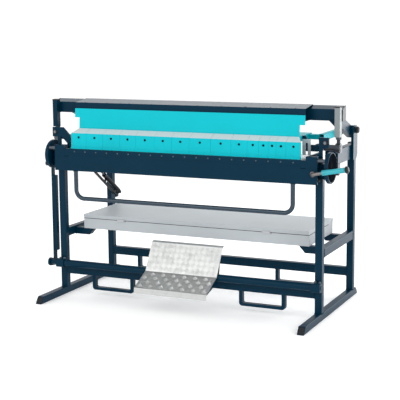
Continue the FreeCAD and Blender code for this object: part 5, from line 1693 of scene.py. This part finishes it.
@dataclass
class Linkage:
    """Rocker, links, push rod, gas strut and the knob on the left cheek."""

    shop: Workshop
    link_rounding: float = 0.8 * MM
    knob_back: Outline = ((0.8, 0.0), (1.0, 2.0))
    knob_front: Outline = ((1.0, 3.0), (0.86, 0.6), (0.6, 0.0), (0.0, 0.0))
    flutes: int = 8
    flute_steps: int = 6
    flute_depth: float = 0.12
    flute_rim: float = 0.84
    stem_radius: float = 6.0 * MM
    stem_share: float = 0.36
    sleeve_half: float = 12.0 * MM
    sleeve_inset: float = 1.0 * MM
    sleeve_width: float = 20.0 * MM
    sleeve_foot: float = 90.0 * MM
    sleeve_head: float = 70.0 * MM
    sleeve_rounding: float = 2.5 * MM
    sleeve_segments: int = 3
    eye: float = 10.0 * MM
    guard_drop: float = 36.0 * MM
    guard_start: float = 20.0 * MM
    guard_length: float = 320.0 * MM
    guard_bar: float = 12.0 * MM
    web_places: tuple[tuple[float, float], ...] = ((40.0 * MM, 26.0 * MM), (190.0 * MM, 22.0 * MM))
    web_plate: float = 4.0 * MM
    web_drop: float = 0.6
    web_share: float = 0.78
    guard_rounding: float = 0.9 * MM
    ring: Outline = ((13.6, 0.0), (14.5, 1.0), (14.5, 3.0), (13.6, 4.0))
    ring_places: tuple[float, ...] = (124.0 * MM, 134.0 * MM)

    def build(self) -> None:
        """Dress the linkage."""
        self.shop.paint(DARK, "rocker_shaft", "push_rod", "rocker_cranks")
        self.shop.soften("pull_links", "pull_links", ZINC, self.link_rounding)
        self.shop.paint(STRUT_BLACK, "strut_cylinder")
        self.shop.paint(DARK_ZINC, "strut_rod")
        self.shop.add("fluted_knob", self.knob(), "base", BLACK, ["stop_knob"])
        self.shop.add("strut_rings", gather(self.rings()), "strut_cylinder", DARK_ZINC)
        self.shop.add("strut_guard", gather(self.guard()), "strut_cylinder", STRUT_BLACK)
        self.shop.add("push_rod_sleeve", self.sleeve(), "push_rod", DARK)

    def sleeve(self) -> bmesh.types.BMesh:
        """Square tube round the middle of the push rod.

        Returns:
            The sleeve.
        """
        rod = box_of("push_rod")
        start, end = rod.low.x + self.sleeve_inset, rod.high.x + self.sleeve_inset
        depth = (rod.centre.y - self.sleeve_half, rod.centre.y + self.sleeve_half)
        rise = (rod.low.z + self.sleeve_foot, rod.high.z - self.sleeve_head)
        box = Box.spanning((start, end + self.sleeve_width), depth, rise)
        return slab(box, self.sleeve_rounding, self.sleeve_segments)

    def knob(self) -> bmesh.types.BMesh:
        """Knob with flutes round its rim and a stem to the cheek.

        Returns:
            The knob.
        """
        box = box_of("stop_knob")
        radius, depth = box.size.y / 2, box.size.x
        stem = depth * self.stem_share
        profile = [(self.stem_radius, 0.0), (self.stem_radius, stem)]
        profile += [(radius * share, stem + rise * MM) for share, rise in self.knob_back]
        profile += [(radius * share, depth - drop * MM) for share, drop in self.knob_front]
        form = lathe(profile, Matrix.Identity(4), self.flutes * self.flute_steps)
        rim = [v for v in form.verts if v.co.xy.length > radius * self.flute_rim and v.co.z > stem]
        for vert in rim:
            angle = math.atan2(vert.co.y, vert.co.x)
            hollow = (0.5 + 0.5 * math.cos(self.flutes * angle)) ** 2
            vert.co.xy *= 1 - self.flute_depth * hollow
        seat = Vector((box.high.x, box.centre.y, box.centre.z))
        place = frame_on(seat, Side.LEFT.outward)
        bmesh.ops.transform(form, matrix=place, verts=form.verts)
        return form

    def strut_line(self) -> tuple[Vector, Vector, Vector]:
        """Line of the gas strut.

        Returns:
            Its foot, its upper eye and its direction.
        """
        cylinder, rod = box_of("strut_cylinder"), box_of("strut_rod")
        eye = Vector((0, self.eye, -self.eye))
        foot = Vector((cylinder.centre.x, cylinder.high.y, cylinder.low.z)) - eye
        lug = Vector((rod.centre.x, rod.low.y, rod.high.z)) + eye
        return foot, lug, (lug - foot).normalized()

    def guard(self) -> list[bmesh.types.BMesh]:
        """Flat guard bar under the strut, held by two webs on its cylinder.

        Returns:
            Forms of the bar and the webs.
        """
        foot, _, along = self.strut_line()
        below = ACROSS.cross(along).normalized()
        below = below if below.z < 0 else -below
        turn = Matrix((ACROSS, below, along)).transposed().to_4x4()
        bar = self.guard_bar
        parts = [(self.guard_drop, self.guard_start, self.guard_length, bar, bar)]
        web_drop, web_height = self.guard_drop * self.web_drop, self.guard_drop * self.web_share
        for start, length in self.web_places:
            parts.append((web_drop, start, length, self.web_plate, web_height))
        made = []
        for drop, start, length, width, height in parts:
            form = slab(
                Box.spanning((-width / 2, width / 2), (-height / 2, height / 2), (0, length)),
                self.guard_rounding,
            )
            place = Matrix.Translation(foot + below * drop + along * start)
            bmesh.ops.transform(form, matrix=place @ turn, verts=form.verts)
            made.append(form)
        return made

    def rings(self) -> list[bmesh.types.BMesh]:
        """Rolled grooves at the mouth of the gas strut's cylinder.

        Returns:
            One form for each groove.
        """
        _, lug, along = self.strut_line()
        places = [frame_on(lug - along * back, along) for back in self.ring_places]
        return [lathe(in_mm(self.ring), place) for place in places]


@dataclass
class Pedal:
    """Foot pedal of tread plate on its cross shaft."""

    shop: Workshop
    body: str = "pedal"
    rounding: float = 0.7 * MM
    cell: float = 32.0 * MM
    margin: float = 7.0 * MM
    front_facing: float = -0.2
    side_facing: float = 0.1
    areas: int = 3
    bars: int = 5
    bar_length: float = 24.0 * MM
    bar_width: float = 3.6 * MM
    bar_height: float = 0.9 * MM
    bar_steps: int = 10
    bar_pitch: float = 1.45
    bar_turn: float = math.radians(45)
    bar_taper: Triple = (0.86, 0.55, 1.0)

    def build(self) -> None:
        """Dress the pedal and raise its tread bars."""
        self.shop.soften("pedal_plate", self.body, TREAD, self.rounding)
        self.shop.paint(DARK, "pedal_shaft", "pedal_crank")
        self.shop.add("tread_bars", self.tread(), self.body, TREAD)

    def bar(self) -> bmesh.types.BMesh:
        """One raised bar with rounded ends, narrower at its top.

        Returns:
            The bar, lying along X.
        """
        form = bmesh.new()
        bmesh.ops.create_circle(form, cap_ends=True, segments=self.bar_steps, radius=0.5)
        bmesh.ops.scale(form, vec=(self.bar_length, self.bar_width, 1), verts=form.verts)
        top = drawn_out(form)
        bmesh.ops.scale(form, vec=self.bar_taper, verts=top)
        bmesh.ops.translate(form, vec=UP * self.bar_height, verts=top)
        return form

    def tread(self) -> bmesh.types.BMesh:
        """Groups of bars on the flat areas, turned by a right angle from group to group.

        Returns:
            One form with every bar.
        """
        places = []
        plate = merged("pedal_plate")
        front = [f for f in plate.faces if f.normal.y < self.front_facing]
        flat = [f for f in front if abs(f.normal.x) < self.side_facing]
        for face in sorted(flat, key=lambda f: -f.calc_area())[: self.areas]:
            places += self.face_places(face)
        plate.free()
        return repeated(self.bar(), places)

    def face_places(self, face: bmesh.types.BMFace) -> list[Matrix]:
        """Places of the bars on one flat area of the plate.

        Args:
            face: the flat area.

        Returns:
            A matrix for each bar.
        """
        normal = face.normal.copy()
        down = normal.cross(ACROSS).normalized()
        centre = face.calc_center_bounds()
        half_width = max(abs((v.co - centre).dot(ACROSS)) for v in face.verts) - self.margin
        half_depth = max(abs((v.co - centre).dot(down)) for v in face.verts) - self.margin
        columns = int(2 * half_width / self.cell)
        rows = int(2 * half_depth / self.cell)
        area = Matrix.Translation(centre) @ Matrix((ACROSS, down, normal)).transposed().to_4x4()
        found = []
        for row in range(rows):
            for column in range(columns):
                x = (column - (columns - 1) / 2) * 2 * half_width / columns
                y = (row - (rows - 1) / 2) * 2 * half_depth / rows
                turn = self.bar_turn + math.radians(90) * ((row + column) % 2)
                group = area @ Matrix.Translation((x, y, 0)) @ Matrix.Rotation(turn, 4, "Z")
                for index in range(self.bars):
                    shift = (index - (self.bars - 1) / 2) * self.bar_width * self.bar_pitch
                    found.append(group @ Matrix.Translation((0, shift, 0)))
        return found


@dataclass(frozen=True)
class Lamp:
    """One soft rectangular light: where it stands, what it faces, its size and its watts."""

    name: str
    place: Triple
    target: Triple
    size: tuple[float, float]
    power: float

    def build(self) -> None:
        """Put the light into the scene, unseen by the camera."""
        light = bpy.data.lights.new(self.name, "AREA")
        light.shape = "RECTANGLE"
        light.size, light.size_y = self.size
        light.energy = self.power
        place = Vector(self.place)
        thing = bpy.data.objects.new(self.name, light)
        thing.matrix_world = frame_on(place, place - Vector(self.target))
        thing.visible_camera = False
        bpy.context.scene.collection.objects.link(thing)


@dataclass
class Studio:
    """Camera at the photo's angle, pale floor and soft light."""

    camera_place: Triple = (2.5416, -5.5964, 1.6263)
    yaw: float = math.radians(24.69)
    pitch: float = math.radians(8.55)
    roll: float = math.radians(-0.52)
    lens: float = 98.2
    sensor: float = 36.0
    shift: tuple[float, float] = (-0.001, -0.052)
    floor_size: float = 40.0
    floor_colour: Colour = (0.93, 0.93, 0.93)
    floor_roughness: float = 0.9
    floor_specular: float = 0.1
    floor_glow: float = 0.22
    horizon: float = 1.2
    zenith: float = 0.75
    lamps: tuple[Lamp, ...] = (
        Lamp("right_window", (2.1, 2.5, 1.25), (0.8, 0.0, 1.0), (1.9, 2.0), 46.0),
        Lamp("ceiling_panel", (-1.4, 3.2, 3.3), (0.0, 0.0, 0.9), (4.0, 2.2), 55.0),
        Lamp("right_key", (4.6, -2.4, 2.6), (0.2, 0.0, 0.7), (2.4, 2.4), 50.0),
        Lamp("front_fill", (-2.2, -5.0, 3.2), (0.0, 0.0, 0.6), (3.0, 3.0), 50.0),
    )

    def build(self) -> None:
        """Set up the view."""
        self.camera()
        self.floor()
        self.world()
        for lamp in self.lamps:
            lamp.build()

    def camera(self) -> None:
        """Camera with the angle and lens that the photo was taken at."""
        level = Vector((-math.sin(self.yaw), math.cos(self.yaw), 0))
        forward = level * math.cos(self.pitch) - UP * math.sin(self.pitch)
        right = Vector((math.cos(self.yaw), math.sin(self.yaw), 0))
        up = right.cross(forward)
        cosine, sine = math.cos(self.roll), math.sin(self.roll)
        turned_right = right * cosine + up * sine
        turned_up = up * cosine - right * sine
        view = bpy.data.cameras.new("photo_camera")
        view.sensor_width = self.sensor
        view.lens = self.lens
        view.shift_x, view.shift_y = self.shift
        thing = bpy.data.objects.new("photo_camera", view)
        rotation = Matrix((turned_right, turned_up, -forward)).transposed().to_4x4()
        thing.matrix_world = Matrix.Translation(self.camera_place) @ rotation
        bpy.context.scene.collection.objects.link(thing)
        bpy.context.scene.camera = thing

    def floor(self) -> None:
        """Wide plain floor."""
        form = bmesh.new()
        bmesh.ops.create_grid(form, x_segments=1, y_segments=1, size=self.floor_size)
        mesh = bpy.data.meshes.new("floor")
        form.to_mesh(mesh)
        form.free()
        recipe = Recipe(bpy.data.materials.new("floor_white"))
        recipe.finish({"Base Color": self.floor_colour, "Roughness": self.floor_roughness})
        recipe.finish({"Specular IOR Level": self.floor_specular})
        recipe.finish({"Emission Color": WHITE, "Emission Strength": self.floor_glow})
        mesh.materials.append(recipe.owner)
        thing = bpy.data.objects.new("floor", mesh)
        bpy.context.scene.collection.objects.link(thing)

    def world(self) -> None:
        """White surroundings that fade towards the ceiling."""
        recipe = Recipe(bpy.data.worlds.new("white_studio"), "Background")
        direction = recipe.node("ShaderNodeTexCoord").outputs["Generated"]
        ends = {"To Min": self.horizon, "To Max": self.zenith}
        fade = recipe.node(
            "ShaderNodeMapRange", None, {"Value": recipe.split(direction, Axis.HEIGHT), **ends}
        )
        recipe.finish({"Color": WHITE, "Strength": fade.outputs[0]})
        bpy.context.scene.world = recipe.owner
        bpy.context.scene.view_settings.view_transform = "Standard"


def main() -> None:
    """Build every sub-assembly, then the view."""
    logging.basicConfig(level=logging.INFO, format="%(name)s: %(message)s")
    shop = Workshop()
    builders: list[Callable[[Workshop], object]] = [
        Stand, Tray, Bed, ClampingBeam, Apron, Linkage, Pedal
    ]
    for builder in builders:
        log.info("building %s", builder.__name__)
        builder(shop).build()
    Studio().build()


if __name__ == "__main__":
    main()
